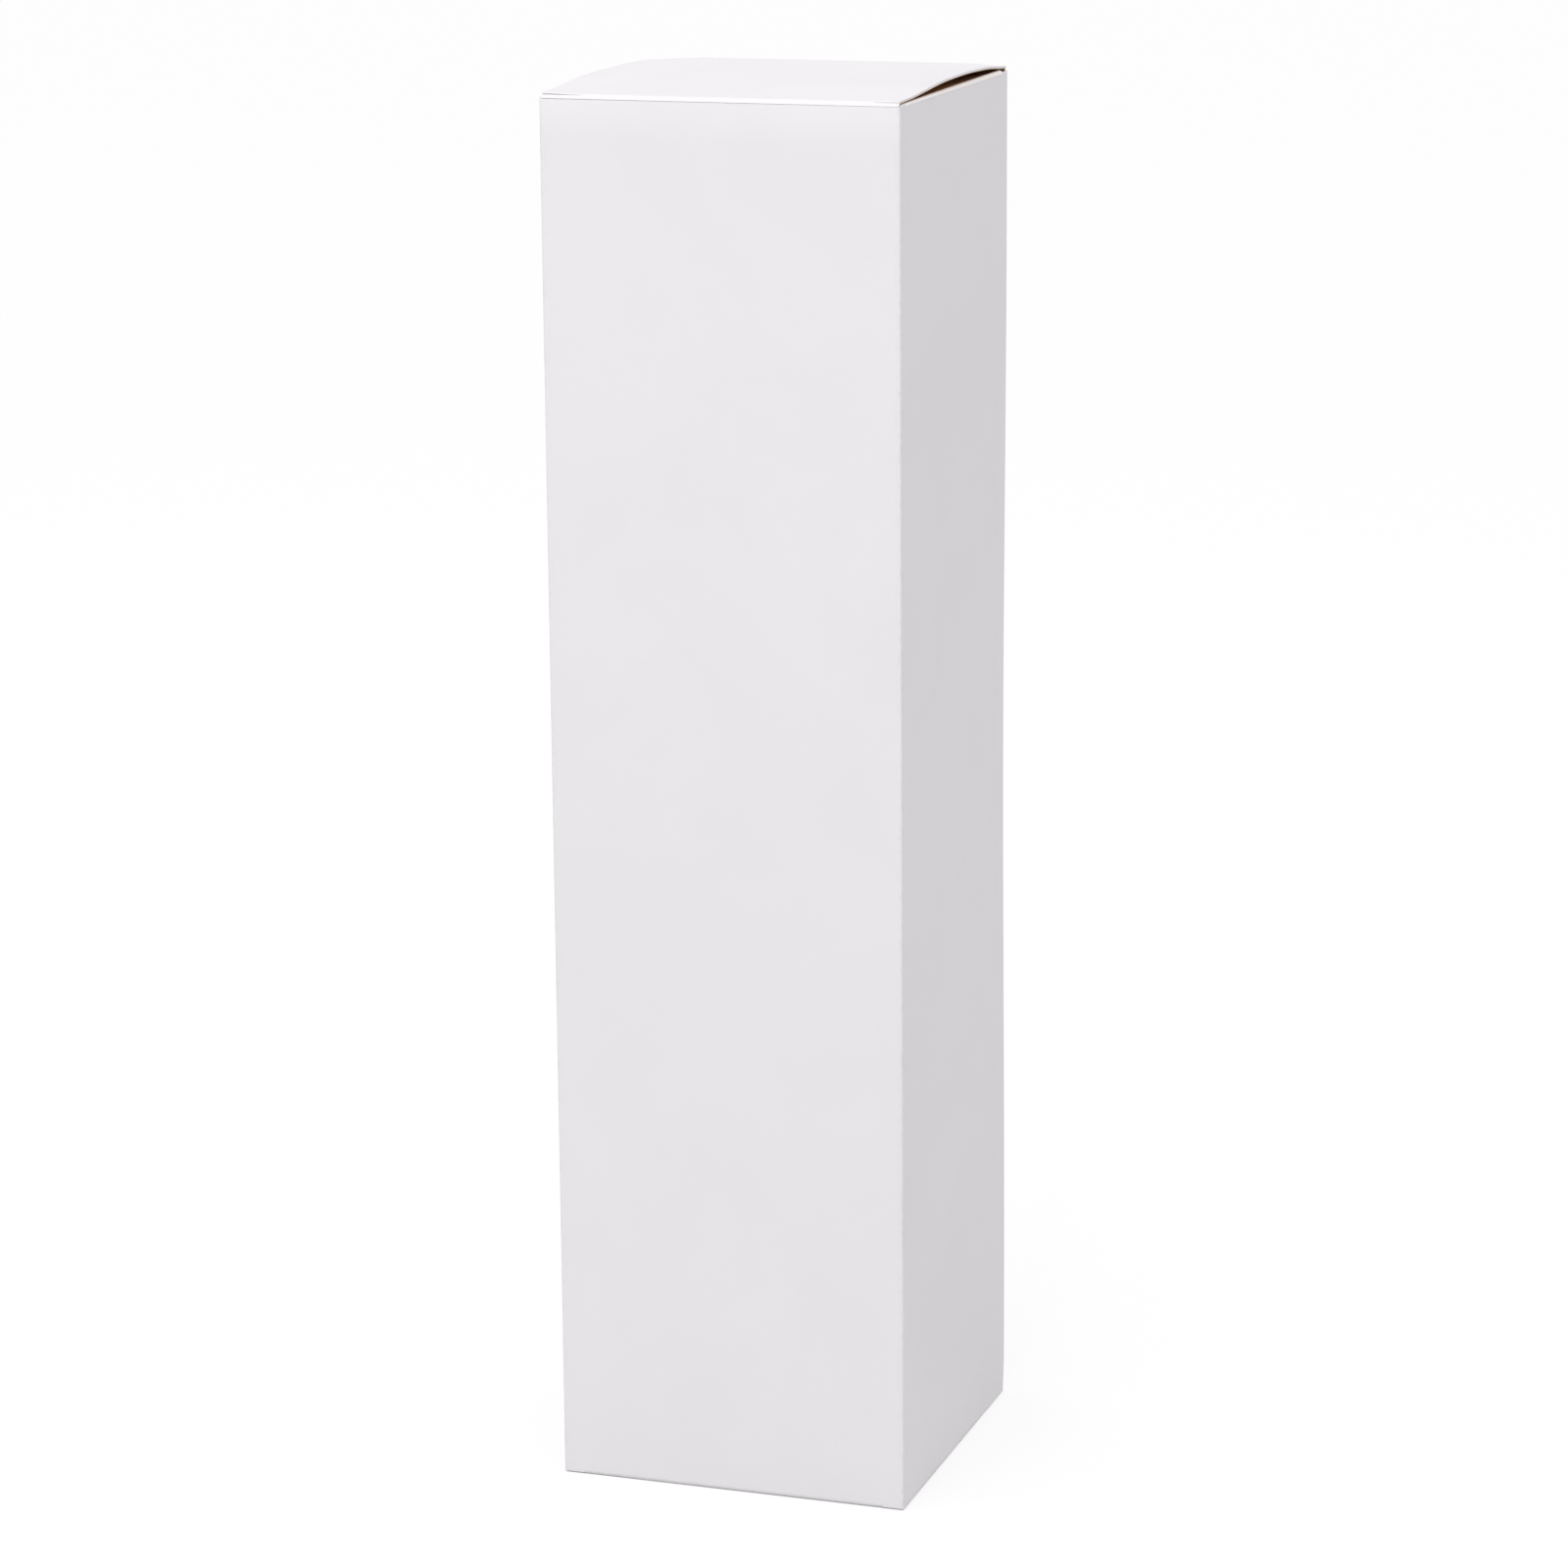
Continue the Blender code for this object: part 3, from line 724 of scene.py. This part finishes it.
def make_tuck_flap(materials):
    half = HALF_WIDTH - BOARD - TUCK_SIDE_CLEARANCE
    foot = half - TUCK_LENGTH * math.tan(TUCK_TAPER)
    half_outline = [(half, TUCK_TOP_DROP, 0), (foot, TUCK_LENGTH, TUCK_CORNER_RADIUS)]
    matrix = to_side(BACK, HINGES["tuck_hinge"], -QUARTER - TUCK_LEAN)
    outline = rounded(both_halves(half_outline))
    line = flat_line(TUCK_TOP_DROP, TUCK_LENGTH)
    make_panel("tuck_flap", outline, line, matrix, materials, rolled=[(1, TUCK_LENGTH)])


def fold_line(turn_down, places, height, fold=QUARTER):
    """Side view of a flap folded off a wall: round its crease, then on at these heights."""
    up = 1 if turn_down else -1
    centre = Vector((CREASE_RADIUS, -CREASE_RADIUS * up))
    middle = arc(centre, CREASE_RADIUS, math.pi, math.pi - up * fold, CORNER_STEPS)
    step_length = CREASE_RADIUS * fold / CORNER_STEPS
    along = [CREASE_RADIUS - step_length * left for left in range(CORNER_STEPS, -1, -1)]
    for place in places:
        middle.append(Vector((place, height(place))))
        along.append(place)
    return outer_line(middle, along, up)


def make_dust_flap(node, side, hinge, materials):
    front = DUST_FRONT_CLEARANCE - HALF_DEPTH
    back = HALF_DEPTH - DUST_BACK_CLEARANCE
    neck = front + DUST_SHOULDER_STEP
    past_shoulder = DUST_SHOULDER + DUST_SHOULDER_STEP
    front_end = neck + (DUST_LENGTH - past_shoulder) * math.tan(DUST_FRONT_TAPER)
    back_end = back - DUST_LENGTH * math.tan(DUST_BACK_TAPER)
    bend_end = CREASE_RADIUS * (1 + math.sin(DUST_FOLD - QUARTER))
    bend_drop = CREASE_RADIUS * (1 - math.cos(DUST_FOLD - QUARTER))
    shares = [(step / DUST_STEPS) ** 2 for step in range(1, DUST_STEPS + 1)]
    places = [bend_end + (DUST_LENGTH - bend_end) * share for share in shares]

    def droop(place):
        return DUST_DROOP * (1 - math.exp(min(0, bend_end - place) / DUST_DROOP_RUN))

    def hanging(place):
        return -bend_drop - droop(place)

    line = fold_line(True, places, hanging, DUST_FOLD)
    start = line[0][0]
    outline = [
        (front, start, 0),
        (back, start, 0),
        (back, 0, 0),
        (back_end, DUST_LENGTH, DUST_CORNER_RADIUS),
        (front_end, DUST_LENGTH, DUST_CORNER_RADIUS),
        (neck, past_shoulder, DUST_ROOT_RADIUS),
        (front, DUST_SHOULDER, DUST_ROOT_RADIUS),
    ]
    if side == LEFT:
        outline = mirrored(outline)
    base = HEIGHT - CORNER_RADIUS

    def pressed_by_lid(point):
        """The crease stands highest at the back, and the lid holds it down at the front."""
        if point.z > base:
            to_back = 0.5 + point.y / DEPTH
            height = CREASE_FRONT_SHARE + (CREASE_BACK_SHARE - CREASE_FRONT_SHARE) * to_back
            point.z = base + (point.z - base) * height
        steps_back = (point.y - front) / DUST_SHOULDER_STEP
        near_front = 1 - smooth_step(steps_back - DUST_SHOULDER_DROOP_END)
        from_crease = abs(hinge.x) - abs(point.x)
        point.z += droop(from_crease) * (1 - DUST_SHOULDER_DROOP_SHARE) * near_front
        return settled(point)

    board = (rounded(outline), line, to_side(side, hinge), materials)
    piece = board_piece(node + "_board", *board, give=pressed_by_lid)
    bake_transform(piece)
    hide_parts(node)


def climbing_line(end, ramp_start, ramp_end, level):
    """Side view of a bottom flap that climbs from one level to another, with its turns eased."""
    slope = level / (ramp_end - ramp_start)
    ease = min(RAMP_EASE, 2 * (ramp_start - CREASE_RADIUS) * EASE_ROOM_SHARE)

    def risen(past):
        if abs(past) >= ease / 2:
            return max(0, past)
        return (past + ease / 2) ** 2 / (2 * ease)

    def height(place):
        return slope * (risen(place - ramp_start) - risen(place - ramp_end))

    places = [end]
    for turn in (ramp_start, ramp_end):
        places += [turn + ease * (step / EASE_STEPS - 0.5) for step in range(EASE_STEPS + 1)]
    return fold_line(False, sorted(places), height)


def make_bottom_flap(node, side, outline, line, point, materials):
    make_panel(node, rounded(outline), line, to_side(side, point), materials, outside=-1)


def make_bottom_front(materials):
    middle = HALF_DEPTH - HALF_BOARD
    ramp_end = middle - TONGUE_RAMP_BEFORE_MIDDLE
    tip = middle + TONGUE_REACH
    line = climbing_line(tip, ramp_end - TONGUE_RAMP, ramp_end, 3 * BOTTOM_LEVEL)
    half = HALF_WIDTH - FRONT_FLAP_INSET
    shoulder = middle - FRONT_FLAP_SHORT_OF_MIDDLE
    root = TONGUE_WIDTH / 2
    half_outline = [
        (half, line[0][0], 0),
        (half, shoulder, BOTTOM_CORNER_RADIUS),
        (root, shoulder, BOTTOM_CORNER_RADIUS / 2),
        (root - (tip - shoulder) * math.tan(TONGUE_TAPER), tip, BOTTOM_CORNER_RADIUS),
    ]
    point = (0, -middle, HALF_BOARD)
    make_bottom_flap("bottom_flap_front", FRONT, both_halves(half_outline), line, point, materials)


def make_bottom_back(materials):
    middle = HALF_DEPTH - HALF_BOARD
    tip = middle + LEG_REACH
    line = climbing_line(tip, BOARD + HAIRLINE, BACK_FLAP_RAMP, 2 * BOTTOM_LEVEL)
    half = HALF_WIDTH - BACK_FLAP_INSET
    notch_side = TONGUE_WIDTH / 2 + NOTCH_CLEARANCE
    narrowing = LEG_REACH * math.tan(LEG_TAPER)
    half_outline = [
        (half, line[0][0], 0),
        (half, middle, BOTTOM_CORNER_RADIUS),
        (half - narrowing, tip, BOTTOM_CORNER_RADIUS),
        (notch_side + narrowing, tip, BOTTOM_CORNER_RADIUS),
        (notch_side, middle - NOTCH_CLEARANCE, BOTTOM_CORNER_RADIUS / 2),
    ]
    point = (0, middle, HALF_BOARD)
    make_bottom_flap("bottom_flap_back", BACK, both_halves(half_outline), line, point, materials)


def make_bottom_side(node, side, materials):
    middle = HALF_WIDTH - HALF_BOARD
    reach = middle - SIDE_FLAP_SHORT_OF_MIDDLE
    heel = middle - TONGUE_WIDTH / 2 - SIDE_FLAP_HEEL_CLEARANCE
    front = SIDE_FLAP_END_CLEARANCE - HALF_DEPTH
    broad_end = -TONGUE_RAMP - TONGUE_RAMP_BEFORE_MIDDLE - SIDE_FLAP_END_CLEARANCE
    line = climbing_line(reach, BOARD + HAIRLINE, SIDE_FLAP_RAMP, BOTTOM_LEVEL)
    outline = [
        (front, line[0][0], 0),
        (SIDE_FLAP_BACK_REACH, line[0][0], 0),
        (SIDE_FLAP_BACK_REACH, 0, 0),
        (SIDE_FLAP_END_CLEARANCE, heel, BOTTOM_CORNER_RADIUS),
        (broad_end, heel, BOTTOM_CORNER_RADIUS / 2),
        (broad_end, reach, BOTTOM_CORNER_RADIUS),
        (front, reach, BOTTOM_CORNER_RADIUS),
    ]
    if side == LEFT:
        outline = mirrored(outline)
    point = (middle * (1 if side == RIGHT else -1), 0, HALF_BOARD)
    make_bottom_flap(node, side, outline, line, point, materials)


def plug(tree, source, socket):
    """Sets a socket: a number or colour as it is, an output as a link, and None leaves it alone."""
    if isinstance(source, bpy.types.NodeSocket):
        tree.links.new(source, socket)
    elif source is not None:
        socket.default_value = source


def add_node(tree, kind, *sources, **values):
    """A node right of and below the last one, with its values set and inputs plugged in order."""
    node = tree.nodes.new(kind)
    node.location = len(tree.nodes) * NODE_STEP
    for name, value in values.items():
        setattr(node, name, value)
    for socket, source in zip(node.inputs, sources):
        plug(tree, source, socket)
    return node


def calculate(tree, operation, *sources):
    return add_node(tree, "ShaderNodeMath", *sources, operation=operation).outputs[0]


def times(tree, first, second):
    return calculate(tree, "MULTIPLY", first, second)


def plus(tree, first, second):
    return calculate(tree, "ADD", first, second)


def calculate_vector(tree, operation, *sources):
    return add_node(tree, "ShaderNodeVectorMath", *sources, operation=operation).outputs[0]


def stepped(tree, value, low, high, bottom=0.0, top=1.0):
    """Maps a value smoothly from low..high to bottom..top."""
    sources = (value, low, high, bottom, top)
    kind = "ShaderNodeMapRange"
    return add_node(tree, kind, *sources, interpolation_type="SMOOTHSTEP").outputs[0]


def noisy(tree, vector, scale, detail=2.0, distortion=0.0):
    node = add_node(tree, "ShaderNodeTexNoise")
    named = {"Vector": vector, "Scale": scale, "Detail": detail, "Distortion": distortion}
    for name, source in named.items():
        plug(tree, source, node.inputs[name])
    return node.outputs["Fac"]


def mixed(tree, factor, first, second, kind="RGBA"):
    """The first colour where the factor is 0, the second where it is 1; FLOAT is for numbers."""
    node = add_node(tree, "ShaderNodeMix", data_type=kind)
    in_use = [socket for socket in node.inputs if socket.enabled]
    for socket, source in zip(in_use, (factor, first, second)):
        plug(tree, source, socket)
    return next(socket for socket in node.outputs if socket.enabled)


def separated(tree, vector, part):
    return add_node(tree, "ShaderNodeSeparateXYZ", vector).outputs[part]


def object_place(tree):
    return add_node(tree, "ShaderNodeTexCoord").outputs["Object"]


def blank_place(tree):
    return add_node(tree, "ShaderNodeUVMap", uv_map="blank").outputs["UV"]


def new_group(name, sizes, results):
    """A shared group that takes a place and named sizes, with their defaults, and gives numbers."""
    tree = bpy.data.node_groups.new(name, "ShaderNodeTree")
    tree.interface.new_socket("Place", in_out="INPUT", socket_type="NodeSocketVector")
    for label, size in sizes.items():
        socket = tree.interface.new_socket(label, in_out="INPUT", socket_type="NodeSocketFloat")
        socket.default_value = size
    for label in results:
        tree.interface.new_socket(label, in_out="OUTPUT", socket_type="NodeSocketFloat")
    given = add_node(tree, "NodeGroupInput").outputs
    return tree, given, add_node(tree, "NodeGroupOutput").inputs


def use_group(tree, group, *sources):
    return add_node(tree, "ShaderNodeGroup", *sources, node_tree=group).outputs


def make_paper_grain():
    """Tooth and clouds of paper: Tooth is its fine height, Cloud its slow change of tone."""
    sizes = {"Tooth size": 0.0003, "Cloud size": 0.02}
    tree, given, result = new_group("paper_grain", sizes, ("Tooth", "Cloud"))
    fine_scale = calculate(tree, "DIVIDE", 1.0, given["Tooth size"])
    coarse_scale = times(tree, fine_scale, COARSE_TOOTH_SCALE)
    cloud_scale = calculate(tree, "DIVIDE", 1.0, given["Cloud size"])
    fine = noisy(tree, given["Place"], fine_scale, detail=3.0)
    coarse = noisy(tree, given["Place"], coarse_scale)
    cloud = noisy(tree, given["Place"], cloud_scale, detail=2.5, distortion=0.4)
    fine_half = times(tree, fine, 0.5)
    coarse_half = times(tree, coarse, 0.5)
    plug(tree, plus(tree, fine_half, coarse_half), result["Tooth"])
    plug(tree, stepped(tree, cloud, *CLOUD_RANGE), result["Cloud"])
    return tree


def make_fibres():
    """Short fibres lying in three directions of the board's plane, as a mask."""
    sizes = {"Width": 0.00006, "Length": 0.0012, "Amount": 0.4}
    tree, given, result = new_group("board_fibres", sizes, ("Fibres",))
    across = calculate(tree, "DIVIDE", 1.0, given["Width"])
    along = calculate(tree, "DIVIDE", 1.0, given["Length"])
    stretch = add_node(tree, "ShaderNodeCombineXYZ", across, along, along).outputs[0]
    fewest, full = FIBRE_RANGE
    more = times(tree, given["Amount"], FIBRE_AMOUNT_REACH)
    faintest = calculate(tree, "SUBTRACT", fewest, more)
    masks = []
    for angle in FIBRE_ANGLES:
        turned = add_node(tree, "ShaderNodeVectorRotate", rotation_type="Z_AXIS")
        plug(tree, given["Place"], turned.inputs["Vector"])
        plug(tree, angle, turned.inputs["Angle"])
        stretched = calculate_vector(tree, "MULTIPLY", turned.outputs[0], stretch)
        streaks = noisy(tree, stretched, 1.0, detail=1.0, distortion=0.6)
        masks.append(stepped(tree, streaks, faintest, full))
    widest = calculate(tree, "MAXIMUM", masks[0], masks[1])
    plug(tree, calculate(tree, "MAXIMUM", widest, masks[2]), result["Fibres"])
    return tree


def make_crease_distance():
    """How far a point is from the nearest crease, with a mask of wear and one of painted highlight
    on the creases at the top.
    """
    sizes = {"Reach": 0.0012, "Break size": 0.002}
    tree, given, result = new_group("crease_wear_and_highlight", sizes, ("Distance", "Wear", "Top fold highlight"))
    parts = add_node(tree, "ShaderNodeSeparateXYZ", given["Place"]).outputs
    halves = ((0, HALF_WIDTH), (0, HALF_DEPTH), (HEIGHT / 2, HEIGHT / 2))
    gaps = []
    for part, (middle, half) in zip(parts, halves):
        centred = calculate(tree, "SUBTRACT", part, middle)
        size = calculate(tree, "ABSOLUTE", centred)
        gap = calculate(tree, "SUBTRACT", half, size)
        gaps.append(calculate(tree, "ABSOLUTE", gap))
    total = plus(tree, plus(tree, gaps[0], gaps[1]), gaps[2])
    larger = calculate(tree, "MAXIMUM", gaps[0], gaps[1])
    largest = calculate(tree, "MAXIMUM", larger, gaps[2])
    distance = calculate(tree, "SUBTRACT", total, largest)
    plug(tree, distance, result["Distance"])
    # mask of the painted highlight: near the creases, above the front panel's top
    high = stepped(tree, parts[2], FRONT_TOP, FRONT_TOP + TOP_HIGHLIGHT_RISE)
    highlight_near_fold = stepped(tree, distance, *TOP_HIGHLIGHT_REACH)
    plug(tree, times(tree, highlight_near_fold, high), result["Top fold highlight"])
    break_scale = calculate(tree, "DIVIDE", 1.0, given["Break size"])
    breaks = noisy(tree, given["Place"], break_scale, detail=4.0)
    near = stepped(tree, distance, given["Reach"], 0.0)
    broken = stepped(tree, breaks, *BREAK_RANGE)
    plug(tree, times(tree, near, broken), result["Wear"])
    return tree


def new_material(name, specular):
    material = bpy.data.materials.new(name)
    material.use_nodes = True
    shader = material.node_tree.nodes["Principled BSDF"]
    shader.inputs["Specular IOR Level"].default_value = specular
    return material, material.node_tree, shader.inputs


def raise_surface(tree, height, depth, shader):
    """Bumps the surface by a height from 0 to 1, times a depth in metres."""
    bump = add_node(tree, "ShaderNodeBump")
    for name, source in (("Strength", 1.0), ("Distance", depth), ("Height", height)):
        plug(tree, source, bump.inputs[name])
    plug(tree, bump.outputs["Normal"], shader["Normal"])


def make_coated_white(grain, crease):
    """The clay-coated outside: faintly clouded white, with a fine tooth, tired creases and a
    painted highlight on the creases at the top.
    """
    material, tree, shader = new_material("coated_white", COATED_SPECULAR)
    place = object_place(tree)
    paper = use_group(tree, grain, place, *COATED_GRAIN)
    wear_and_highlight = use_group(tree, crease, place, *COATED_WEAR)
    far, near = SCORE_LINE + SCORE_HALF_WIDTH, SCORE_LINE - SCORE_HALF_WIDTH
    outer_side = stepped(tree, wear_and_highlight["Distance"], far, SCORE_LINE)
    inner_side = stepped(tree, wear_and_highlight["Distance"], near, SCORE_LINE)
    patches = noisy(tree, place, SCORE_PATCH_SCALE)
    patchy = stepped(tree, patches, *SCORE_PATCH_RANGE)
    scored = times(tree, times(tree, outer_side, inner_side), patchy)
    clouded = mixed(tree, paper["Cloud"], WHITE_DEEP, WHITE)
    line_tone = times(tree, scored, SCORE_TONE)
    lined = mixed(tree, line_tone, clouded, WHITE_SCORED)
    wear_tone = times(tree, wear_and_highlight["Wear"], COATED_WEAR_TONE)
    rubbed = mixed(tree, wear_tone, lined, WHITE_SCORED)
    # painted highlight: the creases at the top made a lighter white
    plug(tree, mixed(tree, wear_and_highlight["Top fold highlight"], rubbed, FOLD_PAINTED_HIGHLIGHT), shader["Base Color"])
    satin = stepped(tree, paper["Tooth"], *TOOTH_RANGE, *COATED_ROUGHNESS)
    dulled = times(tree, wear_and_highlight["Wear"], COATED_WEAR_DULLING)
    plug(tree, plus(tree, satin, dulled), shader["Roughness"])
    groove = times(tree, scored, SCORE_DEPTH)
    height = calculate(tree, "SUBTRACT", paper["Tooth"], groove)
    raise_surface(tree, height, COATED_TOOTH, shader)
    return material


def make_kraft(name, grain, fibres, white_strip=0.0):
    """The brown face: clouded, fibrous and rough, and white as far as this from its crease. On the
    dust flaps' tops, whose face is white, the brown is painted shade.
    """
    material, tree, shader = new_material(name, BARE_SPECULAR)
    blank = blank_place(tree)
    paper = use_group(tree, grain, object_place(tree), *KRAFT_GRAIN)
    pale = use_group(tree, fibres, blank, *PALE_FIBRES)["Fibres"]
    elsewhere = calculate_vector(tree, "ADD", blank, DARK_FIBRE_SHIFT)
    dark = use_group(tree, fibres, elsewhere, *DARK_FIBRES)["Fibres"]
    clouded = mixed(tree, paper["Cloud"], KRAFT_DEEP, KRAFT_LIGHT)
    pale_tone = times(tree, pale, PALE_FIBRE_TONE)
    with_pale = mixed(tree, pale_tone, clouded, KRAFT_PALE_FIBRE)
    dark_tone = times(tree, dark, DARK_FIBRE_TONE)
    colour = mixed(tree, dark_tone, with_pale, KRAFT_DARK_FIBRE)
    roughness = stepped(tree, paper["Tooth"], *TOOTH_RANGE, *KRAFT_ROUGHNESS)
    if white_strip:
        ragged = times(tree, paper["Tooth"], WHITE_STRIP_RAGGEDNESS)
        past = plus(tree, separated(tree, blank, 1), ragged)
        strip_end = white_strip + WHITE_STRIP_RAGGEDNESS
        strip = stepped(tree, past, strip_end, white_strip)
        # painted highlight: the strip at the crease in peach-white
        colour = mixed(tree, strip, colour, SIDE_FOLD_PAINTED_HIGHLIGHT)
        roughness = mixed(tree, strip, roughness, WHITE_STRIP_ROUGHNESS, "FLOAT")
    plug(tree, colour, shader["Base Color"])
    plug(tree, roughness, shader["Roughness"])
    raised = times(tree, pale, PALE_FIBRE_HEIGHT)
    raise_surface(tree, plus(tree, paper["Tooth"], raised), KRAFT_TOOTH, shader)
    return material


def make_cut_edge(grain, fibres, crease):
    """The board cut through: a white core of felted fibres, and the thin brown ply inside."""
    material, tree, shader = new_material("cut_edge", BARE_SPECULAR)
    place, blank = object_place(tree), blank_place(tree)
    paper = use_group(tree, grain, place, *EDGE_GRAIN)
    felted = use_group(tree, fibres, blank, *EDGE_FIBRES)["Fibres"]
    wear_and_highlight = use_group(tree, crease, place, *EDGE_WEAR)
    depth = times(tree, separated(tree, blank, 1), -1.0)
    ragged = times(tree, paper["Tooth"], PLY_RAGGEDNESS)
    brown = stepped(tree, plus(tree, depth, ragged), *BROWN_PLY)
    core = mixed(tree, paper["Cloud"], CORE_DEEP, CORE_WHITE)
    fibre_tone = times(tree, felted, EDGE_FIBRE_TONE)
    fibrous = mixed(tree, fibre_tone, core, CORE_FIBRE)
    soil_tone = times(tree, wear_and_highlight["Wear"], EDGE_SOIL_TONE)
    soiled = mixed(tree, soil_tone, fibrous, CORE_FIBRE)
    plug(tree, mixed(tree, brown, soiled, KRAFT_LIGHT), shader["Base Color"])
    rough = stepped(tree, paper["Tooth"], *TOOTH_RANGE, *EDGE_ROUGHNESS)
    plug(tree, rough, shader["Roughness"])
    raise_surface(tree, plus(tree, paper["Tooth"], felted), EDGE_TOOTH, shader)
    return material


def make_camera():
    """Stands where the photograph was taken from, by values fitted to the carton's corners."""
    azimuth, elevation, roll = (math.radians(angle) for angle in CAMERA_ANGLES)
    level = math.cos(elevation)
    back = Vector((math.sin(azimuth) * level, -math.cos(azimuth) * level, math.sin(elevation)))
    right = Vector((math.cos(azimuth), math.sin(azimuth), 0))
    up = back.cross(right)
    aim = Vector((0, 0, HEIGHT / 2)) + right * CAMERA_AIM[0] + up * CAMERA_AIM[1]
    turned_right = right * math.cos(roll) + up * math.sin(roll)
    turned_up = up * math.cos(roll) - right * math.sin(roll)
    data = bpy.data.cameras.new("camera")
    data.lens = CAMERA_LENS
    data.sensor_width = CAMERA_SENSOR
    data.clip_start, data.clip_end = CAMERA_CLIP
    camera = new_object("camera", data)
    turn = Matrix((turned_right, turned_up, back)).transposed().to_4x4()
    camera.matrix_world = Matrix.Translation(aim + back * CAMERA_DISTANCE) @ turn
    bpy.context.scene.camera = camera


def seen_directly(tree):
    """1 for rays from the camera, and for mirrored and see-through ones, else 0."""
    rays = add_node(tree, "ShaderNodeLightPath").outputs
    direct = calculate(tree, "MAXIMUM", rays["Is Camera Ray"], rays["Is Glossy Ray"])
    return calculate(tree, "MAXIMUM", direct, rays["Is Transmission Ray"])


def make_softbox(name, power, size, place):
    """A square soft lamp at this place, turned to the middle of the carton."""
    lamp = bpy.data.lights.new(name, "AREA")
    lamp.shape = "SQUARE"
    lamp.size = size
    lamp.energy = power
    softbox = new_object(name, lamp)
    softbox.location = place
    softbox.rotation_mode = "QUATERNION"
    from_middle = Vector(place) - Vector((0, 0, HEIGHT / 2))
    softbox.rotation_quaternion = from_middle.to_track_quat("Z", "Y")


def make_light():
    world = bpy.data.worlds.new("studio")
    bpy.context.scene.world = world
    world.use_nodes = True
    tree = world.node_tree
    background = tree.nodes["Background"].inputs
    strength = mixed(tree, seen_directly(tree), ROOM_LIGHT, 1.0, "FLOAT")
    plug(tree, BACKDROP, background["Color"])
    plug(tree, strength, background["Strength"])
    make_softbox("overhead_softbox", OVERHEAD_POWER, OVERHEAD_SIZE, OVERHEAD_PLACE)
    make_softbox("front_softbox", FRONT_POWER, FRONT_SIZE, FRONT_PLACE)


def make_floor():
    """A matte floor that the camera sees nearly white, but for the shadow and under the carton."""
    mesh = bpy.data.meshes.new("floor")
    bm = bmesh.new()
    bmesh.ops.create_grid(bm, x_segments=1, y_segments=1, size=FLOOR_HALF_SIZE)
    bm.to_mesh(mesh)
    bm.free()
    floor = new_object("floor", mesh)
    material, tree, shader = new_material("floor", 0.0)
    seen = seen_directly(tree)
    place = object_place(tree)
    past = []
    for axis, half in ((0, HALF_WIDTH), (1, HALF_DEPTH)):
        part = separated(tree, place, axis)
        size = calculate(tree, "ABSOLUTE", part)
        past.append(calculate(tree, "SUBTRACT", size, half))
    past_edge = calculate(tree, "MAXIMUM", *past)
    glow = stepped(tree, past_edge, -CONTACT_SHADE, 0.0, 0.0, FLOOR_GLOW)
    plug(tree, mixed(tree, seen, FLOOR_WHITE, FLOOR_SEEN), shader["Base Color"])
    plug(tree, FLOOR_ROUGHNESS, shader["Roughness"])
    plug(tree, BACKDROP, shader["Emission Color"])
    plug(tree, mixed(tree, seen, 0.0, glow, "FLOAT"), shader["Emission Strength"])
    mesh.materials.append(material)


def main():
    make_camera()
    grain, fibres, crease = make_paper_grain(), make_fibres(), make_crease_distance()
    kraft = make_kraft("kraft_inside", grain, fibres)
    cut_edge = make_cut_edge(grain, fibres, crease)
    materials = [make_coated_white(grain, crease), kraft, cut_edge]
    # the dust flaps' white tops are painted brown beyond a strip at the crease: painted shade in
    # the gap under the lid
    dust_top_painted_shade = make_kraft("dust_flap_top_painted_shade", grain, fibres, WHITE_STRIP)
    dust_materials = [dust_top_painted_shade, kraft, cut_edge]
    make_walls(materials)
    make_glue_flap(materials)
    make_lid(materials)
    make_tuck_flap(materials)
    make_dust_flap("dust_flap_right", RIGHT, HINGES["dust_right_hinge"], dust_materials)
    make_dust_flap("dust_flap_left", LEFT, HINGES["dust_left_hinge"], dust_materials)
    make_bottom_front(materials)
    make_bottom_side("bottom_flap_right", RIGHT, materials)
    make_bottom_side("bottom_flap_left", LEFT, materials)
    make_bottom_back(materials)
    make_light()
    make_floor()
    bpy.context.scene.view_settings.view_transform = "Standard"


main()
